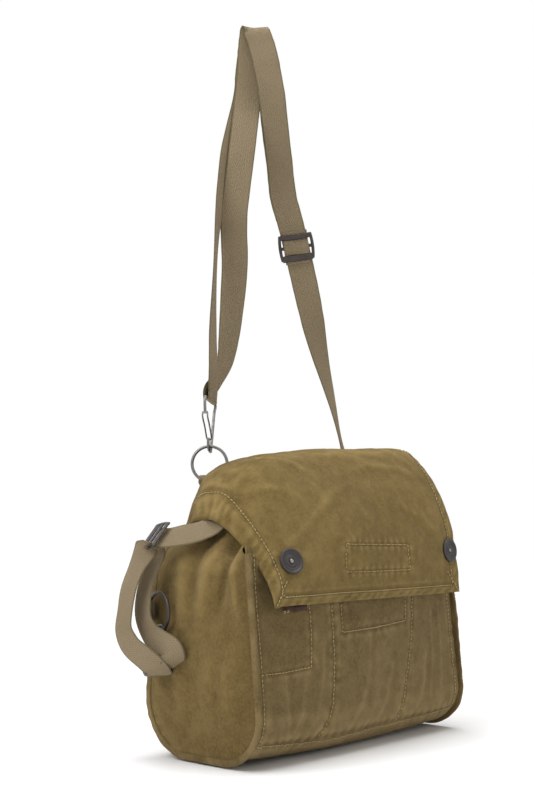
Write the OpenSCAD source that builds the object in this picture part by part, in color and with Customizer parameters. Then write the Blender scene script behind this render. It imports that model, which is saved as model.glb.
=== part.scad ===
// Canvas shoulder bag with a button-down flap, a webbing shoulder strap and a waist strap.
// Origin at the middle of the base on the floor; +X to the right, front towards -Y, +Z up.

/* [Bag] */
// Width between the two side seams
bag_w = 280; // [220:5:360]
// Depth at the foot
foot_d = 122; // [90:2:160]
// Depth at the top of the front panel
top_d = 92; // [70:2:120]
// Height of the front panel's hem
front_h = 198; // [160:2:240]
// Height of the back panel, just under the flap
back_h = 249.8; // [225:0.2:290]
// Radius of the bottom edge along the front
front_r = 36; // [24:1:50]
// Radius of the bottom edge along the back
back_r = 44; // [28:1:55]
// Forward swell of the front panel at its middle
front_swell = 11; // [4:1:16]
// Backward swell of the back panel at its middle
back_swell = 4; // [0:1:8]
// Thickness of the canvas with its lining
canvas = 2.4; // [1.6:0.2:3.2]
// How far the seam ribs stand out from the panels
rib_out = 5; // [3:0.5:8]
// Thickness of a seam rib
rib_t = 2.6; // [2:0.2:4]

/* [Flap] */
// Height of the flap's flat top
ridge_z = 252; // [240:1:300]
// Half width of the flap's flat top
ridge_half = 97; // [70:1:105]
// Half width of the flap at its hem
flap_half = 128; // [110:1:134]
// Height of the flap's front hem
hem_z = 127; // [100:1:150]
// How far the front hem stands in front of the bag's middle
hem_y = 70; // [68:1:95]
// Distance from the middle of the bag back to the flap's hinge line
hinge_y = 47; // [44:1:54]
// Distance from the middle of the bag forward to the flap's ridge
ridge_y = 16; // [8:1:24]
// Drop of the flap's shoulders beside the flat top
shoulder_drop = 47; // [30:1:60]

/* [Buttons] */
// Diameter of a button cap
button_d = 22.5; // [18:0.5:26]
// Distance of each button from the middle
button_x = 112; // [90:1:120]
// How far down the flap's front the buttons sit, as a share of its fall
button_share = 0.63; // [0.55:0.01:0.7]

/* [Shoulder strap] */
// Width of the shoulder webbing
web_w = 25; // [20:1:30]
// Thickness of the webbing
web_t = 1.4; // [1:0.1:2]
// Width of the waist webbing
waist_w = 20; // [16:1:22]
// Outer diameter of the wire rings
ring_d = 34; // [30:1:40]
// Thickness of the ring wire
ring_wire = 2.8; // [2:0.1:3.4]
// Thickness of the hook wire
hook_wire = 2.6; // [2:0.1:3]
// Thickness of the gate wire
gate_wire = 1.5; // [1:0.1:1.8]

/* [Hidden] */

$fn = 48;
gap = 0.3; // clearance between pieces of cloth that lie on one another
hw = bag_w / 2 - rib_t / 2; // half width of the main panel, inside the ribs
floor_z = rib_out; // height of the bottom panel's seam line above the floor
olive = [0.48, 0.41, 0.24];
khaki = [0.55, 0.49, 0.38];
steel = [0.72, 0.71, 0.7];
dark = [0.2, 0.18, 0.17];

// ---- points and sheets ----

function lerp(a, b, k) = a + (b - a) * k;
function ease(k) = let (c = min(max(k, 0), 1)) c * c * (3 - 2 * c);
function unit(v) = v / norm(v);
function turned(a) = [cos(a), sin(a), 0];

// Catmull-Rom curve through a list of points, each a vector of any length
function spline_at(p, i, k) =
    let (n = len(p), a = p[max(i - 1, 0)], b = p[i], c = p[i + 1], d = p[min(i + 2, n - 1)])
    0.5 * (2 * b + (c - a) * k + (2 * a - 5 * b + 4 * c - d) * k * k
    + (3 * b - a - 3 * c + d) * k * k * k);
function spline(p, steps) = [
    for (i = [0 : len(p) - 2]) for (k = [0 : steps - 1]) spline_at(p, i, k / steps),
    p[len(p) - 1]
];

// A closed skin between two equal grids of points: outer face first, inner face second
module sheet(outer, inner) {
    rows = len(outer);
    cols = len(outer[0]);
    n = rows * cols;
    points = concat([for (r = outer) for (p = r) p], [for (r = inner) for (p = r) p]);
    function at(r, c) = r * cols + c;
    faces = concat(
        [for (r = [0 : rows - 2]) for (c = [0 : cols - 2]) each [
            [at(r, c), at(r + 1, c + 1), at(r, c + 1)],
            [at(r, c), at(r + 1, c), at(r + 1, c + 1)],
            [n + at(r, c), n + at(r, c + 1), n + at(r + 1, c + 1)],
            [n + at(r, c), n + at(r + 1, c + 1), n + at(r + 1, c)]
        ]],
        [for (r = [0 : rows - 2]) for (c = [0, cols - 1]) let (
            a = at(r, c), b = at(r + 1, c)
        ) each c == 0
            ? [[a, n + b, b], [a, n + a, n + b]]
            : [[a, b, n + b], [a, n + b, n + a]]],
        [for (c = [0 : cols - 2]) for (r = [0, rows - 1]) let (
            a = at(r, c), b = at(r, c + 1)
        ) each r == 0
            ? [[a, b, n + b], [a, n + b, n + a]]
            : [[a, n + b, b], [a, n + a, n + b]]]
    );
    polyhedron(points, faces, convexity = 8);
}

// Flat webbing along a route of [x, y, z, turn of its width, tilt of its width]
function web_row(route, i, w, t, shift) =
    let (
        n = len(route),
        p = route[i],
        a = route[max(i - 1, 0)],
        b = route[min(i + 1, n - 1)],
        along = unit([b.x - a.x, b.y - a.y, b.z - a.z]),
        flat = turned(p[3]) * cos(p[4]) + [0, 0, sin(p[4])],
        across = unit(flat - along * (flat * along)),
        up = cross(along, across),
        c = [p.x, p.y, p.z] + up * shift
    )
    [c - across * w / 2 + up * t / 2, c + across * w / 2 + up * t / 2,
     c - across * w / 2 - up * t / 2, c + across * w / 2 - up * t / 2];

module webbing(route, w, t = web_t, shift = 0, steps = 4) {
    fine = spline(route, steps);
    rows = [for (i = [0 : len(fine) - 1]) web_row(fine, i, w, t, shift)];
    sheet([for (r = rows) [r[1], r[0]]], [for (r = rows) [r[3], r[2]]]);
}

// Round wire swept along a flat route of [a, b] points, in the XZ plane
module wire(route, d, steps = 4, sides = 10) {
    fine = spline(route, steps);
    n = len(fine);
    rings = [for (i = [0 : n - 1]) let (
        t = unit(fine[min(i + 1, n - 1)] - fine[max(i - 1, 0)]),
        out = [-t.y, t.x]
    ) [for (k = [0 : sides - 1]) let (u = 360 * k / sides)
        [fine[i].x + out.x * cos(u) * d / 2, sin(u) * d / 2, fine[i].y + out.y * cos(u) * d / 2]]];
    points = [for (r = rings) for (p = r) p];
    faces = concat(
        [[for (k = [sides - 1 : -1 : 0]) k]],
        [for (i = [0 : n - 2]) for (k = [0 : sides - 1]) let (m = (k + 1) % sides)
            [i * sides + k, i * sides + m, (i + 1) * sides + m, (i + 1) * sides + k]],
        [[for (k = [0 : sides - 1]) (n - 1) * sides + k]]
    );
    polyhedron(points, faces, convexity = 8);
}

// ---- the bag's panels ----

// Seam line of the front and of the back at height z, and how much the cloth swells there
function front_line(z) =
    -lerp(foot_d, top_d, (z - front_r - floor_z) / (front_h - front_r - floor_z)) / 2;
function back_line(z) =
    lerp(foot_d, top_d, (z - back_r - floor_z) / (back_h - back_r - floor_z)) / 2;
function across(x) = max(1 - pow(x / hw, 2), 0);
function front_y(x, z) =
    front_line(z) - front_swell * across(x) * sin(180 * min(max((z - 12) / (front_h + 30), 0), 1));
function back_y(x, z) =
    back_line(z) + back_swell * across(x) * sin(180 * min(max((z - 12) / (back_h - 12), 0), 1));
function bottom_z(x) = floor_z - (floor_z - 1) * across(x);

// The panel's upper edges drop towards the side seams, under the flap's shoulders
function front_top(x) = front_h - 36 * ease((abs(x) - 30) / 70);
function back_top(x) = min(back_h, roof_z(x) - flap_t - 0.4);

// The panel's section at one place across the width, moved inwards by "inset"
function front_arc(x, inset) =
    let (z = floor_z + front_r, y = front_y(x, z))
    [for (a = [15 : 15 : 90]) [x, y + front_r - (front_r - inset) * cos(a),
        lerp(z, bottom_z(x) + front_r, sin(a)) - (front_r - inset) * sin(a)]];
function back_arc(x, inset) =
    let (z = floor_z + back_r, y = back_y(x, z))
    [for (a = [90 : -15 : 15]) [x, y - back_r + (back_r - inset) * cos(a),
        lerp(z, bottom_z(x) + back_r, sin(a)) - (back_r - inset) * sin(a)]];
function section(x, inset) = concat(
    [for (k = [0 : 9]) let (z = lerp(front_top(x), floor_z + front_r, k / 9)) [x, front_y(x, z) + inset, z]],
    front_arc(x, inset),
    back_arc(x, inset),
    [for (k = [0 : 9]) let (z = lerp(floor_z + back_r, back_top(x), k / 9)) [x, back_y(x, z) - inset, z]]
);
function columns(x0, x1, n) = [for (k = [0 : n]) lerp(x0, x1, k / n)];

module main_panel() {
    xs = columns(-hw, hw, 12);
    color(olive)
    sheet([for (x = xs) section(x, 0)], [for (x = xs) section(x, canvas)]);
}

// The seam outline as a flat polygon in [y, z], grown by "out"
function outline(out) = [for (p = section(hw, -out)) [p.y, p.z]];

module upright(t) {
    rotate([90, 0, 90])
    linear_extrude(t)
    children();
}

fold_low = 182; // height at which an end panel turns in
fold_high = 211; // top of the turned-in part
fold_in = 23; // how far the turned-in part leans over

// Flat end panel; its top leans in under the flap
module right_end_panel() {
    inner_y = top_d / 2 - canvas - 3;
    color(olive) {
        translate([hw, 0, 0])
        upright(rib_t)
        intersection() {
            polygon(outline(-canvas));
            translate([-foot_d, 0])
            square([2 * foot_d, fold_low]);
        }
        translate([0, inner_y, 0])
        rotate([90, 0, 0])
        linear_extrude(inner_y + ridge_y)
        polygon([[hw - 1, fold_low - 4], [hw + rib_t, fold_low - 4], [hw + rib_t, fold_low],
            [hw + rib_t - fold_in, fold_high], [hw - fold_in, fold_high - 1], [hw - 1, fold_low - 1]]);
    }
}
module left_end_panel() { mirror([1, 0, 0]) right_end_panel(); }

// Rib of turned-out seam allowance round an end panel
module seam_rib(x) {
    color(olive)
    translate([x, 0, 0])
    upright(rib_t)
    difference() {
        polygon(outline(rib_out));
        polygon(outline(-canvas));
        translate([-foot_d, front_top(hw)])
        square([foot_d + back_line(back_top(hw)) - canvas, back_h]);
    }
}
module left_seam_rib() { seam_rib(-hw - rib_t); }
module right_seam_rib() { seam_rib(hw); }

// Cloth lying on the front or back panel between two widths and two heights
module front_cloth(x0, x1, z0, z1, off, t) {
    xs = columns(x0, x1, 6);
    zs = columns(z1, z0, 6);
    sheet([for (x = xs) [for (z = zs) [x, front_y(x, z) - off - t, z]]],
        [for (x = xs) [for (z = zs) [x, front_y(x, z) - off, z]]]);
}
module back_cloth(x0, x1, z0, z1, off, t) {
    xs = columns(x0, x1, 4);
    zs = columns(z0, z1, 4);
    sheet([for (x = xs) [for (z = zs) [x, back_y(x, z) + off + t, z]]],
        [for (x = xs) [for (z = zs) [x, back_y(x, z) + off, z]]]);
}

pocket_t = 1.2; // one layer of lining cloth
lining_top = 150; // the pockets end below the buttons' backings
first_layer = -canvas - gap - pocket_t; // lies on the inside of the front panel
second_layer = first_layer - 3 * gap - pocket_t;

module pocket_lining() {
    color(olive)
    front_cloth(-hw + 4, hw - 4, 46, lining_top, first_layer, pocket_t);
}
module left_inner_pocket() {
    color(olive)
    front_cloth(-hw + 6, -86, 73, lining_top, second_layer, pocket_t);
}
module centre_inner_pocket() {
    color(olive)
    front_cloth(-46, 46, 100, lining_top, second_layer, pocket_t);
}

// Folded tab sewn to the front, just under the flap's left corner
module front_keeper() {
    color(dark)
    front_cloth(-121, -101, 117, 121, gap, 2.4);
}

// ---- the flap ----

// Height of the flap's outer face at its ridge, across the bag
function roof_z(x) = ridge_z - shoulder_drop * max(abs(x) - ridge_half, 0) / (134 - ridge_half);
roof_xs = [-134, -116, -ridge_half, 0, ridge_half, 116, 134];
flap_t = 1.8;

module flap_top() {
    color(olive)
    translate([0, hinge_y, 0])
    rotate([90, 0, 0])
    linear_extrude(hinge_y + ridge_y - gap)
    polygon(concat([for (x = roof_xs) [x, roof_z(x)]],
        [for (k = [len(roof_xs) - 1 : -1 : 0]) [roof_xs[k], roof_z(roof_xs[k]) - flap_t]]));
}

// Side view of the front flap in the middle and at its outer edges, from ridge to hem
mid_fall = [[-ridge_y - gap, ridge_z], [-38, 232], [-57, 204], [-67, 176], [-hem_y, 150], [-hem_y, hem_z]];
edge_drop = 44; // how much lower the ridge ends lie
edge_fall = [[-ridge_y - gap, ridge_z - edge_drop], [-34, 192], [-47, 176], [-58, 160],
    [-65.5, 144], [-hem_y, hem_z]];
fall_rows = 12;
wrap_start = 60; // the flap's front starts to curve back this far from the middle

// How far the flap has turned to its edge shape: follows the ridge above, the wrap below
function edge_share(x, k) = lerp((ridge_z - roof_z(x)) / edge_drop,
    ease((abs(x) - wrap_start) / (flap_half - wrap_start)), ease(2.2 * k));
function fall(x, k) =
    let (
        m = k * (len(mid_fall) - 1),
        i = min(floor(m), len(mid_fall) - 2),
        s = edge_share(x, k),
        p = spline_at(mid_fall, i, m - i),
        q = spline_at(edge_fall, i, m - i)
    )
    [x, lerp(p[0], q[0], s), lerp(p[1], q[1], s)];
flap_lift = [0, -flap_t * 0.8, flap_t * 0.6];

module fallen_cloth(x0, x1, k0, k1, off, t) {
    xs = columns(x0, x1, 14);
    ks = columns(k0, k1, fall_rows);
    way = unit(flap_lift);
    sheet([for (x = xs) [for (k = ks) fall(x, k) + way * (off + t)]],
        [for (x = xs) [for (k = ks) fall(x, k) + way * off]]);
}
module flap_front() {
    color(olive)
    fallen_cloth(-flap_half, flap_half, 0, 1, 0, flap_t);
}
// Turned-up hem inside the front edge
module hem_band() {
    color(olive)
    fallen_cloth(-flap_half + 2, flap_half - 2, 0.93, 1, -gap - 1, 1);
}
// Sewn reinforcement inside the flap
module flap_patch() {
    color(olive)
    fallen_cloth(-46, 46, 0.62, 0.8, -gap - 1, 1);
}

// ---- buttons ----

seat = fall(button_x, button_share); // on the inner face of the flap
seat_out = unit(cross(fall(button_x + 8, button_share) - fall(button_x - 8, button_share),
    fall(button_x, button_share - 0.06) - fall(button_x, button_share + 0.06)));
seat_turn = atan2(seat_out.x, -seat_out.y);
seat_tilt = asin(seat_out.z);

// Puts a piece on both button axes, z outwards along the axis
module on_buttons() {
    for (side = [0, 1])
        mirror([side, 0, 0])
        translate(seat)
        rotate([0, 0, seat_turn])
        rotate([90 - seat_tilt, 0, 0])
        children();
}
// Puts a piece on the front panel under both buttons, z outwards
stud_foot = [seat.x, front_y(seat.x, seat.z - 1), seat.z - 1];
module on_studs() {
    for (side = [0, 1])
        mirror([side, 0, 0])
        translate(stud_foot)
        rotate([90, 0, 0])
        children();
}
cap_z = flap_t + 1.1; // from the flap's inner face to the underside of the cap
socket_h = 2.2;
post_r = 2.5;

module button_caps() {
    color(dark)
    on_buttons()
    rotate_extrude()
    polygon([[2.2, cap_z], [button_d / 2, cap_z], [button_d / 2, cap_z + 1.6],
        [button_d / 2 - 0.8, cap_z + 2.4], [button_d / 2 - 2.4, cap_z + 2.4],
        [button_d / 2 - 4, cap_z + 1.3], [2.2, cap_z + 1.3]]);
}
module button_rivets() {
    color(steel)
    on_buttons()
    translate([0, 0, cap_z])
    cylinder(h = 1.9, r = 2.2);
}
module button_sockets() {
    color(steel)
    on_buttons()
    translate([0, 0, -0.5 - socket_h])
    difference() {
        cylinder(h = socket_h, r = 6);
        translate([0, 0, -1])
        cylinder(h = socket_h + 0.4, r = post_r + 1);
    }
}
module stud_posts() {
    color(steel) {
        on_studs()
        translate([0, 0, 0.7])
        cylinder(h = 0.8, r = 5);
        on_buttons()
        translate([0, 0, -5])
        cylinder(h = 3.4, r = post_r);
    }
}
module stud_backings() {
    color(steel)
    on_studs()
    translate([0, 0, -canvas - 1.6])
    cylinder(h = 0.8, r = 5);
}

// ---- shoulder strap ----

pivot_z = 224; // height at which the strap leaves its sewn ends
patch_h = 32; // height of the sewn ends
ring_x = -68;
ring_y = 63;
ring_mid = ring_d / 2 - ring_wire / 2;
ring_low = 228; // height of the ring's lowest wire centre
ring_turn = -48; // direction of the ring's face across the bag
anchor_x = 122;
chape_w = 16;
loop_r = 3.4; // clear radius inside a chape's loop
loop_rise = 1; // the loop's middle sits this far inside the ring's wire

module ring() {
    color(steel)
    rotate([90, 0, 0])
    rotate_extrude($fn = 64)
    translate([ring_mid, 0])
    circle(d = ring_wire, $fn = 24);
}
module shoulder_ring() {
    translate([ring_x, ring_y, ring_low + ring_mid])
    rotate([0, 0, ring_turn])
    ring();
}
module chape_patch() {
    color(khaki)
    back_cloth(ring_x - chape_w / 2, ring_x + chape_w / 2, pivot_z - patch_h, pivot_z, gap, 2 * web_t);
}
module strap_anchor_patch() {
    color(khaki)
    back_cloth(anchor_x - web_w / 2, anchor_x + web_w / 2, pivot_z - patch_h, pivot_z, gap, 2 * web_t);
}
// The part of the chape that holds the ring and bends with the strap
module chape_loop() {
    start_y = back_y(ring_x, pivot_z) + 2 * gap + 2 * web_t;
    low = ring_low + loop_rise - loop_r - web_t;
    color(khaki)
    difference() {
        union() {
            translate([ring_x, ring_y, ring_low + loop_rise])
            rotate([0, 0, ring_turn])
            rotate([0, 90, 0])
            cylinder(h = chape_w, r = loop_r + web_t, center = true);
            translate([ring_x - chape_w / 2, start_y, low])
            cube([chape_w - 2, ring_y - start_y, web_t]);
        }
        translate([ring_x, ring_y, ring_low + loop_rise])
        rotate([0, 0, ring_turn])
        rotate([0, 90, 0])
        cylinder(h = chape_w + 10, r = loop_r, center = true);
    }
}

// Wire snap hook: the nose's bend is at the origin, the eye bar above it in the XZ plane
module wire_hook(bar, reach) {
    h = bar / 2;
    color(steel)
    wire([[-5.2, 10], [-4.8, 3], [-2.8, -0.8], [0.4, -1.8], [3.2, 1], [h - 2, reach - 14],
        [h + 1.2, reach - 8], [h - 1, reach - 4], [-h + 3, reach], [-h - 0.6, reach - 1.4],
        [-h - 1.4, reach - 6], [-h - 0.6, reach - 13]], hook_wire);
}
// Pivot of the gate at the end of the hook's short arm
function gate_pivot(bar, reach) = [-bar / 2 - 0.6, reach - 14.2];
nose_mid = 0.8; // shifts a hook so that the ring lies in the middle of its bend
gate_gap = 2.3; // distance of each gate leg from the hook's plane

module gate_pin(bar, reach) {
    p = gate_pivot(bar, reach);
    color(steel)
    translate([p.x, 0, p.y])
    rotate([90, 0, 0])
    cylinder(h = 2 * gate_gap - gate_wire, r = 0.9, center = true);
}
module gate(bar, reach) {
    p = gate_pivot(bar, reach);
    tip = [-2.7, 8.6];
    color(steel) {
        for (side = [-1, 1])
            translate([0, side * gate_gap, 0])
            wire([p + [0, 0.8], p, lerp(p, tip, 0.5), tip], gate_wire, 2);
        translate([tip.x, 0, tip.y])
        rotate([90, 0, 0])
        cylinder(h = 2 * gate_gap + gate_wire * 0.6, d = gate_wire * 0.96, center = true);
    }
}

hook_bar = web_w + 3;
hook_reach = 46;
hook_turn = 27; // direction of the hook's plane
hook_foot = ring_low + 2 * ring_mid - 2.4; // height of the hook's bend

module on_shoulder_hook() {
    translate([ring_x, ring_y, hook_foot])
    rotate([0, 0, hook_turn])
    translate([nose_mid, 0, 0])
    children();
}
module shoulder_hook() { on_shoulder_hook() wire_hook(hook_bar, hook_reach); }
module shoulder_gate() { on_shoulder_hook() gate(hook_bar, hook_reach); }
module shoulder_gate_pin() { on_shoulder_hook() gate_pin(hook_bar, hook_reach); }

// Webbing bent round the hook's eye bar, which slopes down away from the gate
function eye_tilt(bar) = atan2(-4, bar - 4);
module eye_loop(bar, reach, w) {
    color(khaki)
    translate([1, 0, reach - 2])
    rotate([0, 90 - eye_tilt(bar), 0])
    rotate([0, 0, -90])
    rotate_extrude(angle = 180)
    translate([hook_wire / 2 + gap, -w / 2])
    square([web_t, w]);
}
module strap_hook_loop() { on_shoulder_hook() eye_loop(hook_bar, hook_reach, web_w - 1); }

// The right leg runs straight past the slide
slide_at = [48, 60, 458];
leg_slope = 0.378;
function leg_x(z) = slide_at.x + (slide_at.z - z) * leg_slope;

// Routes: x, y, z, then the turn and the tilt of the webbing's width
tilt = eye_tilt(hook_bar);
loop_off = hook_wire / 2 + gap + web_t / 2;
eye_mid = [ring_x + (1 + nose_mid) * cos(hook_turn), ring_y + (1 + nose_mid) * sin(hook_turn),
    hook_foot + hook_reach - 1];
// Where a layer of webbing leaves the eye bar, "rise" above it; side is 1 behind the hook, -1 before it
function at_eye(side, rise) = [
    eye_mid.x - sin(hook_turn) * loop_off * side - rise * sin(tilt) * cos(hook_turn),
    eye_mid.y + cos(hook_turn) * loop_off * side - rise * sin(tilt) * sin(hook_turn),
    eye_mid.z + rise, hook_turn, tilt];
running_route = [
    at_eye(1, gap), at_eye(1, 10), [-58, 67, 328, 20, 0], [-48, 66, 352, 4, 0], [-42, 62, 392, -18, 0],
    [-39, 60, 430, -30, 0], [-40, 60, 475, -38, 0], [-32, 60, 535, -44, 0], [-23, 60, 590, -48, 0],
    [-17, 60, 635, -48, 0], [-13, 61, 655, -48, 0], [-8, 65, 658, -48, 0], [0, 69, 644, -48, 0],
    [8, 68, 622, -48, 0], [14, 66, 598, -48, 0], [24, 62, 545, -48, 0], [leg_x(505), 60, 505, -48, 0],
    [leg_x(475), 60, 475, -48, 0], [leg_x(440), 60, 440, -48, 0], [leg_x(405), 60, 405, -48, 0],
    [86, 61, 360, -20, 0], [106, 61, 312, 12, 0],
    [117, 58, 270, 16, 0], [121, 54, 240, 5, 0], [anchor_x, back_y(anchor_x, pivot_z) + gap + web_t,
        pivot_z + 0.8, 0, 0]
];
return_route = [
    at_eye(-1, 4 * gap), at_eye(-1, 10), [-69, 57.5, 330, 28, 0], [-74, 53.5, 360, 30, 0], [-70, 54, 415, 38, 0],
    [-64, 55, 465, 36, 0], [-56, 55, 525, 20, 0], [-42, 55, 590, -20, 0],
    [-25, 56, 640, -46, 0], [-16, 58, 659, -48, 0], [-8, 66, 662.5, -48, 0], [2, 71.5, 646, -48, 0],
    [10, 70.5, 624, -48, 0], [16, 68.5, 600, -48, 0], [26, 64.5, 547, -48, 0],
    [leg_x(507) + 2, 62.5, 507, -48, 0], [leg_x(486) + 2, 62.5, 486, -48, 0]
];
module strap_running_length() {
    color(khaki)
    webbing(running_route, web_w);
}
module strap_return_length() {
    color(khaki)
    webbing(return_route, web_w);
}

// Moves a piece to a place with its X along the webbing's width and its Y along the webbing
module laid(place, width, way) {
    y = unit(way);
    x = unit(width - y * (width * y));
    z = cross(x, y);
    multmatrix([[x.x, y.x, z.x, place.x], [x.y, y.y, z.y, place.y], [x.z, y.z, z.z, place.z], [0, 0, 0, 1]])
    children();
}

// Three-bar slide with bowed sides, flat in the XY plane with its bars along X
module three_bar_slide(w, h, t) {
    slot = (h - 3 * 4.2) / 2;
    color(dark)
    translate([0, 0, -t / 2])
    linear_extrude(t)
    difference() {
        intersection() {
            square([w + 8, h], center = true);
            circle(r = w * 0.62 + 1.5);
        }
        for (side = [-1, 1])
            translate([0, side * (slot + 4.2) / 2])
            square([w + 1, slot], center = true);
    }
}
slide_t = 1.6;
slide_lift = 3.1; // height of the slide over the webbing it runs on

module on_slide() {
    laid(slide_at, turned(-48), [-leg_slope, 0, 1])
    children();
}
module strap_slide() {
    on_slide()
    translate([0, 0, slide_lift + slide_t / 2])
    three_bar_slide(web_w, 25, slide_t);
}
// The bight of webbing that runs over the slide's middle bar
module slide_bight() {
    under = web_t / 2 + 2 * gap + web_t / 2;
    over = slide_lift + slide_t + gap + web_t / 2;
    color(khaki)
    on_slide()
    webbing([[0, 15, under, 0, 0], [0, 8.2, under, 0, 0], [0, 2.8, over, 0, 0], [0, -2.8, over, 0, 0],
        [0, -8.2, under, 0, 0], [0, -15, under, 0, 0]], web_w - 1, web_t, 0, 4);
}

// ---- waist strap ----

side_ring_at = [-151, 39, 119];
side_turn = 78; // direction of the side ring's face

module side_ring() {
    translate(side_ring_at)
    rotate([0, 0, side_turn])
    ring();
}
side_h = 16; // height of the side chape
module side_chape() {
    way = turned(side_turn);
    c = side_ring_at + way * (ring_mid - loop_rise);
    panel = back_y(-hw + 20, c.z) + gap + 1;
    rib = back_line(c.z) + rib_out + gap + 0.8;
    color(khaki)
    translate([0, 0, c.z - side_h / 2])
    difference() {
        union() {
            translate([c.x, c.y, 0])
            cylinder(h = side_h, r = loop_r + web_t);
            translate([0, 0, 0.1])
            linear_extrude(side_h - 0.2)
            polygon([[c.x - 2, c.y + loop_r + 0.2], [c.x - 1.5, c.y + loop_r + web_t], [-hw - 3, rib + web_t],
                [-hw + 30, panel + web_t], [-hw + 30, panel], [-hw, rib], [-hw - 3, rib]]);
        }
        translate([c.x, c.y, -1])
        cylinder(h = side_h + 2, r = loop_r);
    }
}

waist_bar = waist_w + 3;
waist_reach = 38;
waist_turn = -52; // direction of the hook's plane

module on_waist_hook() {
    translate([side_ring_at.x, side_ring_at.y, side_ring_at.z - ring_mid + 2.4])
    rotate([0, 0, waist_turn])
    rotate([180, 0, 0])
    translate([nose_mid, 0, 0])
    children();
}
module waist_hook() { on_waist_hook() wire_hook(waist_bar, waist_reach); }
module waist_gate() { on_waist_hook() gate(waist_bar, waist_reach); }
module waist_gate_pin() { on_waist_hook() gate_pin(waist_bar, waist_reach); }
module waist_eye_loop() { on_waist_hook() eye_loop(waist_bar, waist_reach, waist_w - 1); }

waist_tail_route = [
    [-122, -4, 212.5, 90, 0], [-131, 0, 203.8, 90, 0], [-139, 8, 198, 80, 10], [-144, 18, 194, 65, 0],
    [-147, 27, 191, 40, -30]
];
outer_route = [
    [-171, 33, 170.5, 80, -33], [-170, 39, 165, 92, -25], [-171, 46, 154, 112, -10], [-173, 51, 138, 132, 0],
    [-175, 53, 120, 132, 0], [-178, 52, 105, 130, 0], [-178, 43, 93, 114, -14], [-174, 30, 86, 100, -30],
    [-170, 20, 80, 95, -45]
];
inner_route = [
    [-163, 33, 167.5, 80, -33], [-161, 38, 162, 92, -20], [-161, 42, 148, 112, -5], [-162, 45, 132, 132, 0],
    [-162, 44, 115, 132, 0], [-162, 36, 102, 124, -10], [-162, 24, 97, 110, -35], [-160, 12, 94, 114, -50],
    [-159, 6, 86, 130, -60]
];
module waist_tail() {
    color(khaki)
    webbing(waist_tail_route, waist_w);
}
module waist_outer_layer() {
    color(khaki)
    webbing(outer_route, waist_w);
}
module waist_inner_layer() {
    color(khaki)
    webbing(inner_route, waist_w);
}
waist_slide_at = [-157, 38, 181];
module waist_slide() {
    laid(waist_slide_at, [0, 0.84, -0.55], [0.86, 0.28, 0.43])
    three_bar_slide(waist_w, 20, slide_t);
}

main_panel();
left_end_panel();
right_end_panel();
left_seam_rib();
right_seam_rib();
left_inner_pocket();
centre_inner_pocket();
pocket_lining();
front_keeper();
stud_posts();
stud_backings();
flap_top();
flap_front();
flap_patch();
hem_band();
button_caps();
button_rivets();
button_sockets();
chape_patch();
strap_anchor_patch();
chape_loop();
shoulder_ring();
shoulder_hook();
shoulder_gate();
shoulder_gate_pin();
strap_hook_loop();
strap_running_length();
strap_return_length();
strap_slide();
slide_bight();
waist_tail();
waist_slide();
waist_outer_layer();
waist_inner_layer();
waist_eye_loop();
waist_hook();
waist_gate();
waist_gate_pin();
side_chape();
side_ring();
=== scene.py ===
import math
import bpy
import numpy as np
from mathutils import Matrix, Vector


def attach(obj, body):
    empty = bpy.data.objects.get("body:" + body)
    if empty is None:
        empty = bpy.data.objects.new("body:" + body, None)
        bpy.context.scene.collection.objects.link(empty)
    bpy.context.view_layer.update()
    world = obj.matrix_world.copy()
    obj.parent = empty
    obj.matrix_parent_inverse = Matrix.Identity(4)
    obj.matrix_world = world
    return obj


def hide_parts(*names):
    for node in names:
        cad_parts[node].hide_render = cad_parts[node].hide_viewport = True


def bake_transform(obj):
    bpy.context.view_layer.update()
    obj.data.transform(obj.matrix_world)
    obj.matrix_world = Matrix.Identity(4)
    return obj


# A worn olive canvas shoulder bag: sewn shell, button-down flap, webbing straps and wire hardware.
# Shapes are worked out in millimetres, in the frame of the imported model, and made in metres.
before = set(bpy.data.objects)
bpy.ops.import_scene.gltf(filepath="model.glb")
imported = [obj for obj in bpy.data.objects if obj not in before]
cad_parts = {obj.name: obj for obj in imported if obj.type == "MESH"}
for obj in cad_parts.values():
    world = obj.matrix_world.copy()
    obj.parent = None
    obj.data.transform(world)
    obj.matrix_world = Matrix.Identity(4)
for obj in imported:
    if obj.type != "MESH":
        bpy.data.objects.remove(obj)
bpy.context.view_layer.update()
MM = 0.001
TURN = 2 * math.pi                    # all the way round, in radians

# ---- camera, light and floor ----

bpy.ops.object.camera_add(location=(-0.864, -0.7227, 0.2),
                          rotation=(math.radians(95.16), 0, math.radians(-48)))
camera = bpy.context.active_object
camera.data.lens = 56.25
camera.data.sensor_width = 36
camera.data.clip_start = 0.05
bpy.context.scene.camera = camera
bpy.context.scene.view_settings.view_transform = "Standard"


def softbox(name, place, aim, size, power):
    bpy.ops.object.light_add(type="AREA", location=place)
    lamp = bpy.context.active_object
    lamp.name = name
    lamp.data.shape = "SQUARE"
    lamp.data.size = size
    lamp.data.energy = power
    lamp.rotation_euler = (Vector(aim) - Vector(place)).to_track_quat("-Z", "Y").to_euler()


softbox("key_softbox", (-1.6, 0.25, 1.45), (0, 0, 0.15), 1.2, 20)
softbox("top_softbox", (0.1, 0.1, 2.2), (0, 0, 0.1), 1.8, 43)
softbox("front_softbox", (0.5, -2.1, 0.9), (0, 0, 0.2), 1.4, 8)


def link(tree, a, b):
    tree.links.new(a, b)


def put(tree, kind, **settings):
    made = tree.nodes.new(kind)
    for key, value in settings.items():
        setattr(made, key, value)
    return made


def feed(tree, node, values):
    """Sets a node's inputs, each to a plain value or from a socket."""
    for key, value in values.items():
        if isinstance(value, bpy.types.NodeSocket):
            link(tree, value, node.inputs[key])
        else:
            node.inputs[key].default_value = value


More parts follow.
